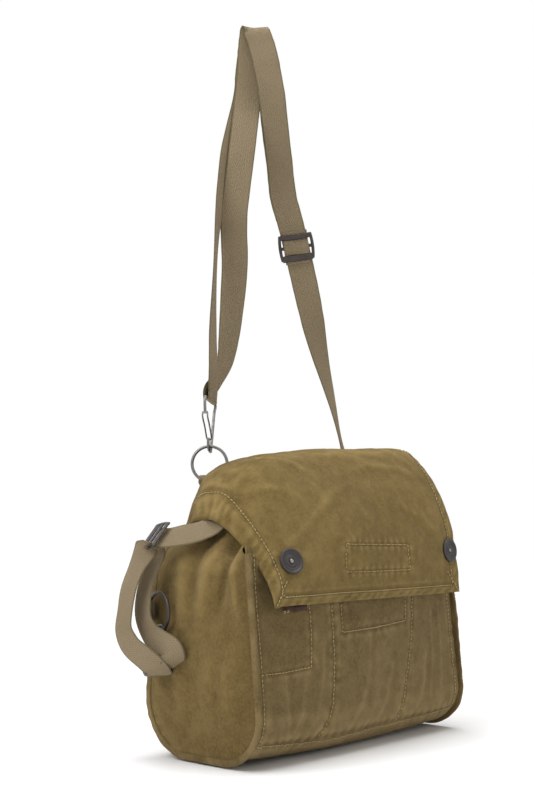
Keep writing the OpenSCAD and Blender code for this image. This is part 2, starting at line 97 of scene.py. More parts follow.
def sum_of(tree, kind, *terms, clamp=False):
    """A Math node over sockets and plain numbers."""
    made = put(tree, "ShaderNodeMath", operation=kind, use_clamp=clamp)
    feed(tree, made, dict(enumerate(terms)))
    return made.outputs[0]


def times(tree, a, b):
    return sum_of(tree, "MULTIPLY", a, b)


def scale_add(tree, a, scale, added, clamp=False):
    return sum_of(tree, "MULTIPLY_ADD", a, scale, added, clamp=clamp)


def direct_view(tree):
    """1 where the camera or a mirror-like surface looks straight at this."""
    path = put(tree, "ShaderNodeLightPath")
    return path, sum_of(tree, "MAXIMUM", path.outputs["Is Camera Ray"], path.outputs["Is Glossy Ray"])


def studio():
    world = bpy.data.worlds.new("studio")
    bpy.context.scene.world = world
    world.use_nodes = True
    t = world.node_tree
    path, seen = direct_view(t)
    seen = sum_of(t, "MAXIMUM", seen, path.outputs["Is Transmission Ray"])
    feed(t, t.nodes["Background"], {0: (1, 1, 1, 1), 1: scale_add(t, seen, 0.64, 0.36)})

    bpy.ops.mesh.primitive_plane_add(size=8, location=(0, 0, -0.0004))
    floor = bpy.context.active_object
    floor.name = "floor"
    m = bpy.data.materials.new("floor_paper")
    m.use_nodes = True
    t = m.node_tree
    t.nodes.remove(t.nodes["Principled BSDF"])
    paper, bright = put(t, "ShaderNodeBsdfDiffuse"), put(t, "ShaderNodeEmission")
    feed(t, paper, {0: (0.97, 0.97, 0.97, 1)})
    feed(t, bright, {0: (1, 1, 1, 1), 1: 1.05})
    far = put(t, "ShaderNodeVectorMath", operation="LENGTH")
    feed(t, far, {0: put(t, "ShaderNodeTexCoord").outputs["Object"]})
    edge = scale_add(t, far.outputs["Value"], 3.2, -1.1, clamp=True)
    mix = put(t, "ShaderNodeMixShader")
    feed(t, mix, {0: times(t, edge, direct_view(t)[1]), 1: paper.outputs[0], 2: bright.outputs[0]})
    link(t, mix.outputs[0], t.nodes["Material Output"].inputs[0])
    floor.data.materials.append(m)


studio()

# ---- finishes ----


def finish(name, roughness, metallic=0.0, specular=0.5, sheen=0.0):
    m = bpy.data.materials.new(name)
    m.use_nodes = True
    t = m.node_tree
    shader = t.nodes["Principled BSDF"]
    feed(t, shader, {"Roughness": roughness, "Metallic": metallic, "Specular IOR Level": specular,
                     "Sheen Weight": sheen, "Sheen Roughness": 0.6})
    return m, t, shader


def blotches(t, where, scale, detail=4.0, rough=0.6, low=0.3, high=0.7):
    """Soft patches from 0 to 1."""
    cloud = put(t, "ShaderNodeTexNoise")
    feed(t, cloud, {"Scale": scale, "Detail": detail, "Roughness": rough, "Vector": where})
    span = put(t, "ShaderNodeMapRange")
    feed(t, span, {"From Min": low, "From Max": high, "Value": cloud.outputs["Fac"]})
    return span.outputs[0]


def tint(t, share, a, b):
    """Mix of two colours, each a socket or a colour."""
    mix = put(t, "ShaderNodeMix", data_type="RGBA")
    a, b = ((*c, 1) if isinstance(c, tuple) else c for c in (a, b))
    feed(t, mix, {0: share, 6: a, 7: b})
    return mix.outputs[2]


def relief(t, shader, heights):
    """Chain of bumps, each (height socket, depth in metres, strength)."""
    below = {}
    for height, depth, strength in heights:
        bump = put(t, "ShaderNodeBump")
        feed(t, bump, {"Strength": strength, "Distance": depth, "Height": height, **below})
        below = {"Normal": bump.outputs[0]}
    feed(t, shader, below)


YARNS = (0.00085, 0.0010)             # pitch of the canvas's warp and weft, in metres
TWILL, ZIGZAG, RIB, RIM = 0.0021, 0.0044, 0.0022, 0.0011    # the same of the webbing, and its selvedge thread


def canvas_finish(name, deep, mid, pale):
    """Washed cotton duck: plain weave, faded patches, rubbed ridges and painted shade in the hollows."""
    m, t, shader = finish(name, 0.95, specular=0.08, sheen=0.03)
    place = put(t, "ShaderNodeTexCoord")
    flat, solid = place.outputs["UV"], place.outputs["Object"]
    wear_and_shade = put(t, "ShaderNodeAttribute", attribute_name="wear_and_shade").outputs["Fac"]
    apart = put(t, "ShaderNodeSeparateXYZ")
    link(t, flat, apart.inputs[0])
    warp, weft = (sum_of(t, "SINE", times(t, apart.outputs[i], TURN / pitch))
                  for i, pitch in enumerate(YARNS))
    weave = scale_add(t, times(t, warp, weft), 0.5, 0.5)
    slub = blotches(t, solid, 900, 2, 0.5)
    broad = blotches(t, solid, 11, 3, 0.5, 0.32, 0.68)
    cloudy = blotches(t, solid, 75, 6, 0.72, 0.34, 0.7)
    specks = blotches(t, solid, 420, 3, 0.6, 0.35, 0.75)
    colour = tint(t, scale_add(t, broad, 0.55, 0.2), deep, mid)
    colour = tint(t, times(t, cloudy, 0.38), colour, pale)
    rubbed = scale_add(t, wear_and_shade, 2.0, -1.0, clamp=True)
    colour = tint(t, times(t, rubbed, scale_add(t, cloudy, 0.35, 0.6)), colour, pale)
    # painted shade: hollows in the cloth are darkened towards the deep colour
    painted_hollow_shade = scale_add(t, wear_and_shade, -2.0, 1.0, clamp=True)
    colour = tint(t, times(t, painted_hollow_shade, 0.6), colour, deep)
    colour = tint(t, times(t, specks, 0.17), colour, tuple(c * 1.5 for c in pale))
    shade = scale_add(t, weave, 0.14, 0.88)
    shade = scale_add(t, slub, 0.08, shade)
    darker = put(t, "ShaderNodeVectorMath", operation="SCALE")
    feed(t, darker, {0: colour, "Scale": shade})
    link(t, darker.outputs[0], shader.inputs["Base Color"])
    crinkle = blotches(t, solid, 170, 5, 0.62, 0.2, 0.8)
    relief(t, shader, [(crinkle, 0.0011, 0.5), (slub, 0.0003, 0.35), (weave, 0.00018, 0.6)])
    return m


def webbing_finish(name, width):
    """Cotton webbing: herringbone twill with a green selvedge thread."""
    m, t, shader = finish(name, 0.92, specular=0.1, sheen=0.04)
    place = put(t, "ShaderNodeTexCoord")
    apart = put(t, "ShaderNodeSeparateXYZ")
    link(t, place.outputs["UV"], apart.inputs[0])
    across, along = apart.outputs[0], apart.outputs[1]
    zigzag = sum_of(t, "PINGPONG", across, ZIGZAG)
    twill = sum_of(t, "SINE", times(t, sum_of(t, "ADD", along, zigzag), TURN / TWILL))
    rib = sum_of(t, "SINE", times(t, across, TURN / RIB))
    yarn = scale_add(t, scale_add(t, rib, 0.4, twill), 0.36, 0.5)
    solid = place.outputs["Object"]
    broad = blotches(t, solid, 22, 3, 0.5)
    fine = blotches(t, solid, 500, 3, 0.6)
    colour = tint(t, yarn, (0.200, 0.152, 0.090), (0.292, 0.226, 0.143))
    colour = tint(t, times(t, broad, 0.55), colour, (0.175, 0.136, 0.080))
    colour = tint(t, times(t, fine, 0.2), colour, (0.31, 0.255, 0.165))
    rim = sum_of(t, "GREATER_THAN", sum_of(t, "ABSOLUTE", across), width / 2 - RIM)
    colour = tint(t, times(t, rim, 0.6), colour, (0.105, 0.092, 0.042))
    link(t, colour, shader.inputs["Base Color"])
    relief(t, shader, [(fine, 0.0004, 0.3), (yarn, 0.0003, 0.6)])
    return m


def thread_finish(name, colour, dark):
    m, t, shader = finish(name, 0.8, specular=0.2)
    solid = put(t, "ShaderNodeTexCoord").outputs["Object"]
    link(t, tint(t, blotches(t, solid, 160, 3), dark, colour), shader.inputs["Base Color"])
    relief(t, shader, [(blotches(t, solid, 2500, 2), 0.0002, 0.6)])
    return m


def metal_finish(name, bright, dull, low, high, metallic=1.0, grime=0.4):
    """Plated or blackened wire and sheet: rubbed spots, fine scratches and dull film."""
    m, t, shader = finish(name, (low + high) / 2, metallic=metallic)
    solid = put(t, "ShaderNodeTexCoord").outputs["Object"]
    film = blotches(t, solid, 190, 5, 0.7, 0.35, 0.65)
    scratch = blotches(t, solid, 2200, 3, 0.7, 0.4, 0.6)
    colour = tint(t, times(t, film, grime), bright, dull)
    link(t, tint(t, times(t, scratch, 0.15), colour, dull), shader.inputs["Base Color"])
    link(t, scale_add(t, film, high - low, low), shader.inputs["Roughness"])
    relief(t, shader, [(film, 0.0003, 0.25), (scratch, 0.00008, 0.3)])
    return m


OLIVE = canvas_finish("olive_canvas", (0.078, 0.053, 0.020), (0.168, 0.115, 0.046), (0.270, 0.196, 0.090))
# Painted light: a copy of the canvas, lighter and warmer, standing in for the warm light from above on the
# flap
FLAP_TOPLIT_OLIVE = canvas_finish("flap_canvas_painted_toplight", (0.090, 0.060, 0.018), (0.182, 0.124, 0.041), (0.285, 0.202, 0.076))
# Painted light and shade: a copy of the canvas, a little darker and yellower, standing in for how the end
# panels are lit
ENDS_LIGHT_TINTED = canvas_finish("end_canvas_light_tinted", (0.074, 0.048, 0.016), (0.168, 0.113, 0.038), (0.265, 0.186, 0.072))
LINING = canvas_finish("lining_cloth", (0.080, 0.058, 0.027), (0.150, 0.112, 0.055), (0.220, 0.170, 0.095))
WEB = webbing_finish("shoulder_webbing", 0.025)
SLIM_WEB = webbing_finish("waist_webbing", 0.020)
THREAD = thread_finish("pale_thread", (0.50, 0.41, 0.21), (0.33, 0.25, 0.115))
TAPE = thread_finish("brown_tape", (0.085, 0.048, 0.032), (0.040, 0.022, 0.015))
STEEL = metal_finish("plated_wire", (0.23, 0.22, 0.21), (0.075, 0.065, 0.058), 0.24, 0.44)
BLACKENED = metal_finish("blackened_steel", (0.050, 0.043, 0.040), (0.11, 0.095, 0.085), 0.30, 0.48, 0.8)
BUTTON = metal_finish("button_enamel", (0.014, 0.010, 0.010), (0.032, 0.024, 0.022), 0.42, 0.6, 0.0, 0.6)

# ---- small sums ----


def lerp(a, b, k):
    return a + (b - a) * k


def ease(k):
    k = np.clip(k, 0, 1)
    return k * k * (3 - 2 * k)


def bell(d, width):
    return np.exp(-((d / width) ** 2))


def dab(a, wide, b, tall):
    """A round bump of height 1 where a and b are 0."""
    return np.exp(-((a / wide) ** 2) - (b / tall) ** 2)


def triple(x, y, z):
    return np.stack(np.broadcast_arrays(x, y, z), axis=-1).astype(float)


def unit(v):
    return v / np.maximum(np.linalg.norm(v, axis=-1, keepdims=True), 1e-9)


def grain(p, size, seed):
    """Smooth noise from -1 to 1 with lumps of about that size, in millimetres."""
    q = p / np.asarray(size, float) + 13.7 * seed
    cell = np.floor(q)
    f = ease(q - cell)
    total = 0
    for step in np.ndindex(2, 2, 2):
        corner = cell + step
        h = np.sin(corner @ np.array([127.1, 311.7, 74.7])) * 43758.5453
        total = total + np.prod(np.where(np.array(step) == 1, f, 1 - f), axis=-1) * (h - np.floor(h))
    return total * 2 - 1


def boxy(c, power):
    """A cosine or sine squared off: the lower the power, the flatter the sides."""
    return np.sign(c) * np.abs(c) ** power


def section(u, across, through):
    """Round a tube's section: its place across and its place through, both from -1 to 1."""
    a = TURN * u
    return boxy(np.cos(a), across), boxy(np.sin(a), through)


def resampled(line, times_finer):
    """The columns of a broken line, with more places on it."""
    p = np.array(line, float)
    k = np.linspace(0, len(p) - 1, times_finer * len(p))
    return [np.interp(k, np.arange(len(p)), column) for column in p.T]


def curve_at(points, k):
    """Catmull-Rom curve through points, k from 0 to 1 over the whole list."""
    p = np.asarray(points, float)
    m = np.clip(np.asarray(k, float), 0, 1) * (len(p) - 1)
    i = np.minimum(np.floor(m).astype(int), len(p) - 2)
    f = (m - i)[..., None]
    a, b = p[np.maximum(i - 1, 0)], p[i]
    c, d = p[i + 1], p[np.minimum(i + 2, len(p) - 1)]
    return 0.5 * (2 * b + (c - a) * f + (2 * a - 5 * b + 4 * c - d) * f ** 2
                  + (3 * b - a - 3 * c + d) * f ** 3)


def from_line(x, z, line):
    """Distance of each place (x, z) from a broken line, and how far along the line it lies."""
    best, run, total = np.full(np.shape(x), 1e9), np.zeros(np.shape(x)), 0.0
    for (ax, az), (bx, bz) in zip(line, line[1:]):
        length = math.hypot(bx - ax, bz - az)
        k = np.clip(((x - ax) * (bx - ax) + (z - az) * (bz - az)) / length ** 2, 0, 1)
        d = np.hypot(x - ax - k * (bx - ax), z - az - k * (bz - az))
        run = np.where(d < best, total + k * length, run)
        best = np.minimum(best, d)
        total += length
    return best, run


# ---- making pieces ----


def pick(*objs):
    """Selects these objects alone, the first one active."""
    bpy.ops.object.select_all(action="DESELECT")
    for obj in objs:
        obj.select_set(True)
    bpy.context.view_layer.objects.active = objs[0]


def joined(parts, name):
    pick(*parts)
    bpy.ops.object.join()
    parts[0].name = name
    return parts[0]


def read(items, field, width, kind=float):
    """Values of mesh items, as rows of that width."""
    values = np.empty(len(items) * width, kind)
    items.foreach_get(field, values)
    return values.reshape(-1, width)


def add_wear_and_shade(mesh, value):
    """Marks rubbed ridges (towards 1) and hollows for painted shade (towards 0) for the canvas finish."""
    wear_and_shade = mesh.attributes.new("wear_and_shade", "FLOAT", "POINT")
    wear_and_shade.data.foreach_set("value", np.clip(value, 0, 1).astype(np.float32))


def piece(name, columns, rows, place, chart, closed=False, ends=False, flip=False):
    """A grid shaped by place(u, v) in millimetres and charted in metres.

    closed joins its two long sides; ends fills the two open ends of such a tube.
    """
    bpy.ops.object.select_all(action="DESELECT")
    bpy.ops.mesh.primitive_grid_add(x_subdivisions=columns, y_subdivisions=rows, size=2)
    obj = bpy.context.active_object
    obj.name = name
    obj.data.name = name
    mesh = obj.data
    u, v, _ = (read(mesh.vertices, "co", 3).T + 1) / 2
    mesh.vertices.foreach_set("co", (place(u, v) * MM).ravel())
    corner = read(mesh.loops, "vertex_index", 1, int)[:, 0]
    mesh.uv_layers.active.data.foreach_set("uv", np.stack(chart(u, v), axis=-1)[corner].ravel())
    if flip:
        mesh.flip_normals()
    if closed:
        bpy.ops.object.mode_set(mode="EDIT")
        bpy.ops.mesh.select_all(action="SELECT")
        bpy.ops.mesh.remove_doubles(threshold=0.000002)
        if ends:
            bpy.ops.mesh.select_all(action="DESELECT")
            bpy.ops.mesh.select_mode(type="EDGE")
            bpy.ops.mesh.select_non_manifold()
            bpy.ops.mesh.fill_holes(sides=0)
            bpy.ops.mesh.select_mode(type="VERT")
        bpy.ops.mesh.select_all(action="SELECT")
        bpy.ops.mesh.normals_make_consistent(inside=False)
        bpy.ops.object.mode_set(mode="OBJECT")
    mesh.update()
    return obj


def scaled(across, along):
    """Chart of a grid stretched to that size in metres."""
    return lambda u, v: (u * across, v * along)


def smooth(obj, angle):
    pick(obj)
    bpy.ops.object.shade_smooth_by_angle(angle=math.radians(angle))
    return obj


def tube(name, columns, rows, place, chart, angle=60, ends=True):
    return smooth(piece(name, columns, rows, place, chart, closed=True, ends=ends), angle)


def dress(obj, material, body=None, slot=None, replaces=()):
    obj.data.materials.clear()
    obj.data.materials.append(material)
    if body:
        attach(obj, body)
    if replaces:
        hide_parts(*replaces)
    return obj


def outward(place, u, v, side=1, e=0.003):
    du = place(np.minimum(u + e, 1), v) - place(np.maximum(u - e, 0), v)
    dv = place(u, np.minimum(v + e, 1)) - place(u, np.maximum(v - e, 0))
    return side * unit(np.cross(du, dv))


def raised(base, height, side=1):
    """The base surface with a height added along its outward normal."""
    def place(u, v):
        p = base(u, v)
        return p + outward(base, u, v, side, 0.002) * height(u, v, p)[:, None]
    return place


def cloth(name, columns, rows, base, height, thick, cut, side, rub_and_shade):
    """A sheet of cloth with an outer and an inner face; its last argument adds rubbed ridges, and hollows for
    painted shade.
    """
    obj = piece(name, columns, rows, raised(base, height, side), scaled(*cut), flip=side < 0)
    mesh = obj.data
    p, normal = read(mesh.vertices, "co", 3), read(mesh.vertices, "normal", 3)
    ends = read(mesh.edges, "vertices", 2, int)
    both_ways = [(ends[:, 0], ends[:, 1]), (ends[:, 1], ends[:, 0])]
    around, count = np.zeros(len(p)), np.zeros(len(p))
    for a, b in both_ways:
        np.add.at(around, a, np.einsum("ij,ij->i", p[a] - p[b], normal[a]))
        np.add.at(count, a, 1)
    bend = around / np.maximum(count, 1) * 1000
    for _ in range(3):
        spread = bend.copy()
        for a, b in both_ways:
            np.add.at(spread, a, bend[b])
        bend = spread / (count + 1)
    # bend is high on ridges, which pale as rubbed wear, and low in hollows, which get painted shade
    add_wear_and_shade(mesh, 0.5 + bend * 6 + rub_and_shade(p / MM))
    pick(obj)
    made = obj.modifiers.new("thickness", "SOLIDIFY")
    made.thickness, made.offset = thick * MM, -1
    bpy.ops.object.modifier_apply(modifier=made.name)
    return smooth(obj, 55)


def stitch_pattern():
    """One stitch lying along X, 1 long and 1 across, made once and copied along every seam."""
    bpy.ops.object.select_all(action="DESELECT")
    bpy.ops.mesh.primitive_uv_sphere_add(segments=6, ring_count=5, radius=0.5, rotation=(0, math.pi / 2, 0))
    obj = bpy.context.active_object
    bpy.ops.object.transform_apply(location=True, rotation=True, scale=True)
    p = np.array([v.co for v in obj.data.vertices])
    p[:, 0] = np.sign(p[:, 0]) * np.abs(p[:, 0] * 2) ** 0.6 / 2
    p[:, 2] += 0.45 - 1.5 * np.abs(p[:, 0]) ** 2 * 1.4
    faces = sorted(tuple(f.vertices) for f in obj.data.polygons)   # the primitive's own order varies
    bpy.data.objects.remove(obj)
    return p, faces


STITCH, STITCH_FACES = stitch_pattern()
STITCH_LIFT = 0.25


def stitches(name, runs, body=None, pitch=3.6, length=2.9, width=0.9):
    """Stitches along runs of (points, normals) in millimetres."""
    spots, faces, first = [], [], 0
    for points, normals in runs:
        step = np.linalg.norm(np.diff(points, axis=0), axis=1)
        run = np.concatenate([[0], np.cumsum(step)])

        def at(s, values=points, run=run):
            return np.array([np.interp(s, run, values[:, i]) for i in range(3)])

        for k, s in enumerate(np.arange(pitch / 2, run[-1], pitch)):
            c, n = at(s), unit(at(s, normals))
            way = unit(at(s + 1) - c if s + 1 < run[-1] else c - at(s - 1))
            side = unit(np.cross(n, way))
            way = unit(way + side * (0.14 * math.sin(k * 2.4) + 0.1 * math.sin(k * 5.1)))
            long = length * (1 + 0.12 * math.sin(k * 3.7))
            spots.append(c + n * STITCH_LIFT + STITCH[:, :1] * way * long + STITCH[:, 1:2] * side * width
                         + STITCH[:, 2:] * n * width)
            faces += [tuple(first + i for i in f) for f in STITCH_FACES]
            first += len(STITCH)
    mesh = bpy.data.meshes.new(name)
    mesh.from_pydata([tuple(q) for q in np.concatenate(spots) * MM], [], faces)
    obj = bpy.data.objects.new(name, mesh)
    bpy.context.collection.objects.link(obj)
    return dress(smooth(obj, 180), THREAD, body, "canvas")


# ---- the shell: front, bottom and back in one cloth ----

HALF = 138.7                          # half of the bag's width
FOOT, TOP = 122, 92                   # depth at the foot and at the top
FRONT_H, BACK_H = 198, 249.8          # heights of the front and the back
FRONT_R, BACK_R, LOW = 36, 44, 5      # foot roundings, and the seams' height over the floor
FLAP_EDGE = 134                       # half of the flap's width at its hinge


def bulge_share(x):
    return np.maximum(1 - (x / HALF) ** 2, 0)


def front_line(z):
    return -lerp(FOOT, TOP, (z - FRONT_R - LOW) / (FRONT_H - FRONT_R - LOW)) / 2


def back_line(z):
    return lerp(FOOT, TOP, (z - BACK_R - LOW) / (BACK_H - BACK_R - LOW)) / 2


def front_y(x, z):
    return front_line(z) - 11 * bulge_share(x) * np.sin(np.pi * np.clip((z - 12) / (FRONT_H + 30), 0, 1))


def back_y(x, z):
    return back_line(z) + 4 * bulge_share(x) * np.sin(np.pi * np.clip((z - 12) / (BACK_H - 12), 0, 1))


def bottom_z(x):
    return LOW - (LOW - 1) * bulge_share(x)


def front_top(x):
    return FRONT_H - 36 * ease((np.abs(x) - 30) / 70) + 12 * ease((np.abs(x) - 127) / 9)


def hinge_z(x):
    """Height of the flap's hinge: the first points of FLAP_LINES."""
    return np.interp(x, [-134, -122, -108, -88, -55, 0, 60, 108, 124, 134],
                     [183, 209, 228, 239, 248, 253, 256, 256, 254, 246])


def back_top(x):
    return hinge_z(x) - 0.9


def squeezed(p):
    """The bag narrows towards the top of its back, more on the left."""
    x, y, z = p[..., 0], p[..., 1], p[..., 2]
    share = np.where(x < 0, 0.17, 0.06) * ease((y - 15) / 32) * ease((z - 150) / 45)
    return triple(x - x * np.abs(x) / FLAP_EDGE * share, y, z)


# Shares of the shell's length: front, foot rounding, bottom, back rounding, back
KNOTS = [0, 0.36, 0.47, 0.57, 0.69, 1]


def shell(u, v):
    """Across the bag, and from the front's top under the bag to the back's top."""
    x = lerp(-HALF, HALF, u)
    share = [np.clip((v - a) / (b - a), 0, 1) for a, b in zip(KNOTS, KNOTS[1:])]
    zf = lerp(front_top(x), LOW + FRONT_R, share[0])
    a = share[1] * np.pi / 2
    fy, fz = front_y(x, LOW + FRONT_R) + FRONT_R, lerp(LOW + FRONT_R, bottom_z(x) + FRONT_R, np.sin(a))
    b = (1 - share[3]) * np.pi / 2
    by, bz = back_y(x, LOW + BACK_R) - BACK_R, lerp(LOW + BACK_R, bottom_z(x) + BACK_R, np.sin(b))
    zb = lerp(LOW + BACK_R, back_top(x), share[4])
    spans = [v < knot for knot in KNOTS[1:-1]]
    y = np.select(spans, [front_y(x, zf), fy - FRONT_R * np.cos(a), lerp(fy, by, share[2]),
                          by + BACK_R * np.cos(b)], back_y(x, zb))
    z = np.select(spans, [zf, fz - FRONT_R * np.sin(a), bottom_z(x), bz - BACK_R * np.sin(b)], zb)
    return squeezed(triple(x, y, z))


def front_uv(x, z):
    """Where a place on the front lies on the shell."""
    x, z = np.asarray(x, float), np.asarray(z, float)
    top = front_top(x)
    high = KNOTS[1] * (top - z) / (top - LOW - FRONT_R)
    low = lerp(KNOTS[1], KNOTS[2], np.arcsin(np.clip((LOW + FRONT_R - z) / FRONT_R, 0, 1)) / (np.pi / 2))
    return (x + HALF) / (2 * HALF), np.where(z >= LOW + FRONT_R, high, low)


# Seams on the front, as (x, z): the foot seam, two channels, the pocket ends and the two side seams
FRONT_SEAMS = [
    [(-134, 19), (-82, 17), (-19, 17), (51, 18), (134, 19)],
    [(-51, 150), (-51, 104), (-50, 79), (-52, 44), (-57, 31), (-64, 20)],
    [(68, 150), (66, 128), (60, 86), (53, 56), (47, 36), (44, 19)],
    [(-38, 150), (-39, 101), (4, 102), (52, 105), (57, 150)],
    [(-133, 74), (-108, 74), (-78, 76), (-77, 100), (-76, 150)],
    [(-132, 168), (-132.5, 120), (-132.5, 60), (-133, 20)],
    [(132, 168), (132.5, 120), (132.5, 60), (133, 20)],
]
# Old creases where the cloth has been folded and rubbed
FRONT_CREASES = [
    [(-106, 104), (-107, 60), (-103, 24)], [(-86, 62), (-89, 42), (-98, 23)],
    [(-2, 96), (-4, 62), (-13, 40), (-26, 22)], [(30, 70), (24, 44), (12, 24)],
    [(84, 74), (80, 48), (70, 28)], [(96, 112), (97, 72), (90, 36)], [(112, 118), (113, 80), (108, 42)],
    [(-62, 96), (-65, 60), (-72, 34)],
]


def on_front(p):
    return ease((-p[:, 1] - 20) / 15)


def shell_height(u, v, p):
    x, z = p[:, 0], p[:, 2]
    front = on_front(p)
    h = 1.5 * grain(p, 62, 1) + 0.7 * grain(p, (16, 30, 34), 2) + 0.22 * grain(p, 8, 3)
    for k, line in enumerate(FRONT_SEAMS):
        d, run = from_line(x, z, line)
        h = h - front * bell(d, 1.8) * 0.9
        h = h + front * bell(d, 6) * 0.28 * np.sin(run * TURN / (10.5 + k) + 4 * grain(p, 24, 4 + k))
    for line in FRONT_CREASES:
        d, _ = from_line(x, z, line)
        h = h + front * (bell(d, 3) * 0.2 - bell(d - 7, 5) * 0.08)
    side = bell(HALF - np.abs(x), 9)
    h = h + side * 0.25 * np.sin(z * TURN / 15 + 4 * grain(p, 25, 11)) - bell(HALF - np.abs(x), 3) * 0.6
    settle = ease(z / 12) * ease((FRONT_H + 50 - z) / 20)
    return h * settle * lerp(0.55, 1, ease((HALF - np.abs(x)) / 14))


def shell_wear(p):
    x, z = p[:, 0], p[:, 2]
    front = on_front(p)
    rub = 0
    for line in FRONT_CREASES:
        d, _ = from_line(x, z, line)
        rub = rub + front * bell(d, 1.6) * (0.10 + 0.14 * grain(p, 20, 21))
    pocket = front * ((np.abs(x + 105) < 27) & (z > 75) | (np.abs(x - 6) < 45) & (z > 103))
    rub = rub - 0.14 * pocket + 0.12 * bell(z - 8, 12) * front
    return rub + 0.10 * grain(p, 34, 22)


bag_shell = cloth("bag_shell", 150, 240, shell, shell_height, 2.2, (0.28, 0.62), -1, shell_wear)
dress(bag_shell, OLIVE, "bag", "canvas", ("main_panel",))

# ---- end panels: flat cloth bellying out a little, gathered and turned in at the top ----


def end_span(z):
    zf = np.clip(LOW + FRONT_R - z, 0, FRONT_R - 0.01)
    zb = np.clip(LOW + BACK_R - z, 0, BACK_R - 0.01)
    front = np.where(z < LOW + FRONT_R, -FOOT / 2 + FRONT_R - np.sqrt(FRONT_R ** 2 - zf ** 2), front_line(z))
    back = np.where(z < LOW + BACK_R, FOOT / 2 - BACK_R + np.sqrt(BACK_R ** 2 - zb ** 2), back_line(z))
    return front, back


def end_base(u, v):
    top = lerp(167, 200, ease(u / 0.45)) - 24 * ease((u - 0.6) / 0.4)
    z = lerp(LOW - 0.6, top, v)
    front, back = end_span(z)
    y = lerp(front, back, u)
    belly = 8 * (1 - (2 * u - 1) ** 2) * np.sin(np.pi * np.clip((z - 4) / 178, 0, 1)) ** 0.8
    lean = 23 * ease((z - 152) / 48) * ease((u + 0.1) / 0.3) * ease((1 - u) / 0.5)
    return squeezed(triple(-(HALF + 1.4) - belly + lean, y, z))


# Soft folds that run down from the turned-in top: line as (y, z), height and breadth
END_FOLDS = [
    ([(-42, 178), (-38, 152), (-44, 108)], 4.0, 6), ([(-20, 196), (-12, 160), (-4, 104)], 4.2, 7),
    ([(-30, 184), (-27, 150), (-22, 116)], -4.4, 5), ([(-2, 200), (3, 166), (8, 118)], -3.2, 6),
    ([(16, 200), (19, 166), (14, 110)], 3.2, 8), ([(-44, 108), (-34, 70), (-32, 28)], 2.2, 8),
    ([(36, 130), (22, 84), (18, 36)], 2.2, 9), ([(-10, 110), (0, 64), (-6, 24)], -2.0, 10),
]


def end_height(u, v, p):
    y, z = p[:, 1], p[:, 2]
    rise = ease((z - 120) / 60)
    h = 1.7 * grain(p, 54, 31) + 1.0 * grain(p, (20, 18, 44), 32) + 0.25 * grain(p, 8, 33)
    h = h + rise * (0.9 * np.sin(y * TURN / 30 + 1.2 + 0.012 * (z - 150)) + 0.9 * grain(p, (20, 12, 34), 34))
    h = h - 7 * dab(y + 24, 8, z - 176, 11)
    for line, high, broad in END_FOLDS:
        near, run = from_line(y, z, line)
        h = h + high * bell(near, broad) * np.sin(np.pi * np.clip(run / run.max(), 0.03, 0.97))
    h = h - 1.6 * dab(y - 4, 9, z - 186, 16)
    seam = np.minimum(u, 1 - u) * 110
    h = h + bell(seam, 9) * 0.3 * np.sin(z * TURN / 14 + 4 * grain(p, 25, 35)) - bell(seam, 4) * 1.0
    return h * lerp(0.3, 1, ease(seam / 12)) * ease(v / 0.03)


# Painted light and shade on the end panels: painted shade in the turned-in top's hollow, painted shade
# towards the front edge and under the flap, a little painted light on the belly, and random tone.
def end_painted_shade(p):
    y, z = p[:, 1], p[:, 2]
    painted_hollow_shade = -0.55 * dab(y + 22, 10, z - 184, 13)
    shade = painted_hollow_shade - 0.22 * bell(y + 56, 26) + 0.12 * grain(p, 40, 36)
    return shade + 0.1 * bell(y - 5, 30) * bell(z - 110, 50) - 0.25 * ease((z - 178) / 20)


def right_end_base(u, v):
    """The left panel mirrored, its turned-in top standing higher under the flap's straighter right end."""
    p = end_base(u, v) * np.array([-1.0, 1, 1])
    return p + triple(0, 0, 20 * ease((p[:, 2] - 125) / 75))


for name, base, side in (("left_end", end_base, -1), ("right_end", right_end_base, 1)):
    end = cloth(f"{name}_cloth", 90, 150, base, end_height, 1.6, (0.11, 0.2), side, end_painted_shade)
    dress(end, ENDS_LIGHT_TINTED, "bag", "canvas", (f"{name}_panel",))

# ---- seam welts: turned-out seam allowance round each end panel ----


def rib_path(k):
    """Seam line in the YZ plane from the front's top to the back's top, and the run along it."""
    z0, z1 = 168, 178
    parts = [z0 - LOW - FRONT_R, FRONT_R * np.pi / 2, FOOT - FRONT_R - BACK_R,
             BACK_R * np.pi / 2, z1 - LOW - BACK_R]
    run = np.asarray(k, float) * sum(parts)
    cum = np.concatenate([[0], np.cumsum(parts)])
    t = [np.clip(run - a, 0, b - a) for a, b in zip(cum, cum[1:])]
    a, b = t[1] / FRONT_R, np.pi / 2 - t[3] / BACK_R
    front, back = z0 - t[0], LOW + BACK_R + t[4]
    spans = [run > cum[i] for i in (4, 3, 2, 1)]
    y = np.select(spans, [back_line(back), FOOT / 2 - BACK_R + BACK_R * np.cos(b), -FOOT / 2 + FRONT_R + t[2],
                          -FOOT / 2 + FRONT_R - FRONT_R * np.cos(a)],
                  front_line(np.maximum(front, LOW + FRONT_R)))
    z = np.select(spans, [back, LOW + BACK_R - BACK_R * np.sin(b), LOW,
                          LOW + FRONT_R - FRONT_R * np.sin(a)], front)
    return y, z, run


def rib_frame(k):
    """The seam line with its way outwards, as (y, z)."""
    y, z, run = rib_path(k)
    y1, z1, _ = rib_path(np.clip(k + 0.004, 0, 1))
    y0, z0, _ = rib_path(np.clip(k - 0.004, 0, 1))
    along = unit(np.stack([y1 - y0, z1 - z0], -1))
    return y, z, run, along[:, 1], -along[:, 0]


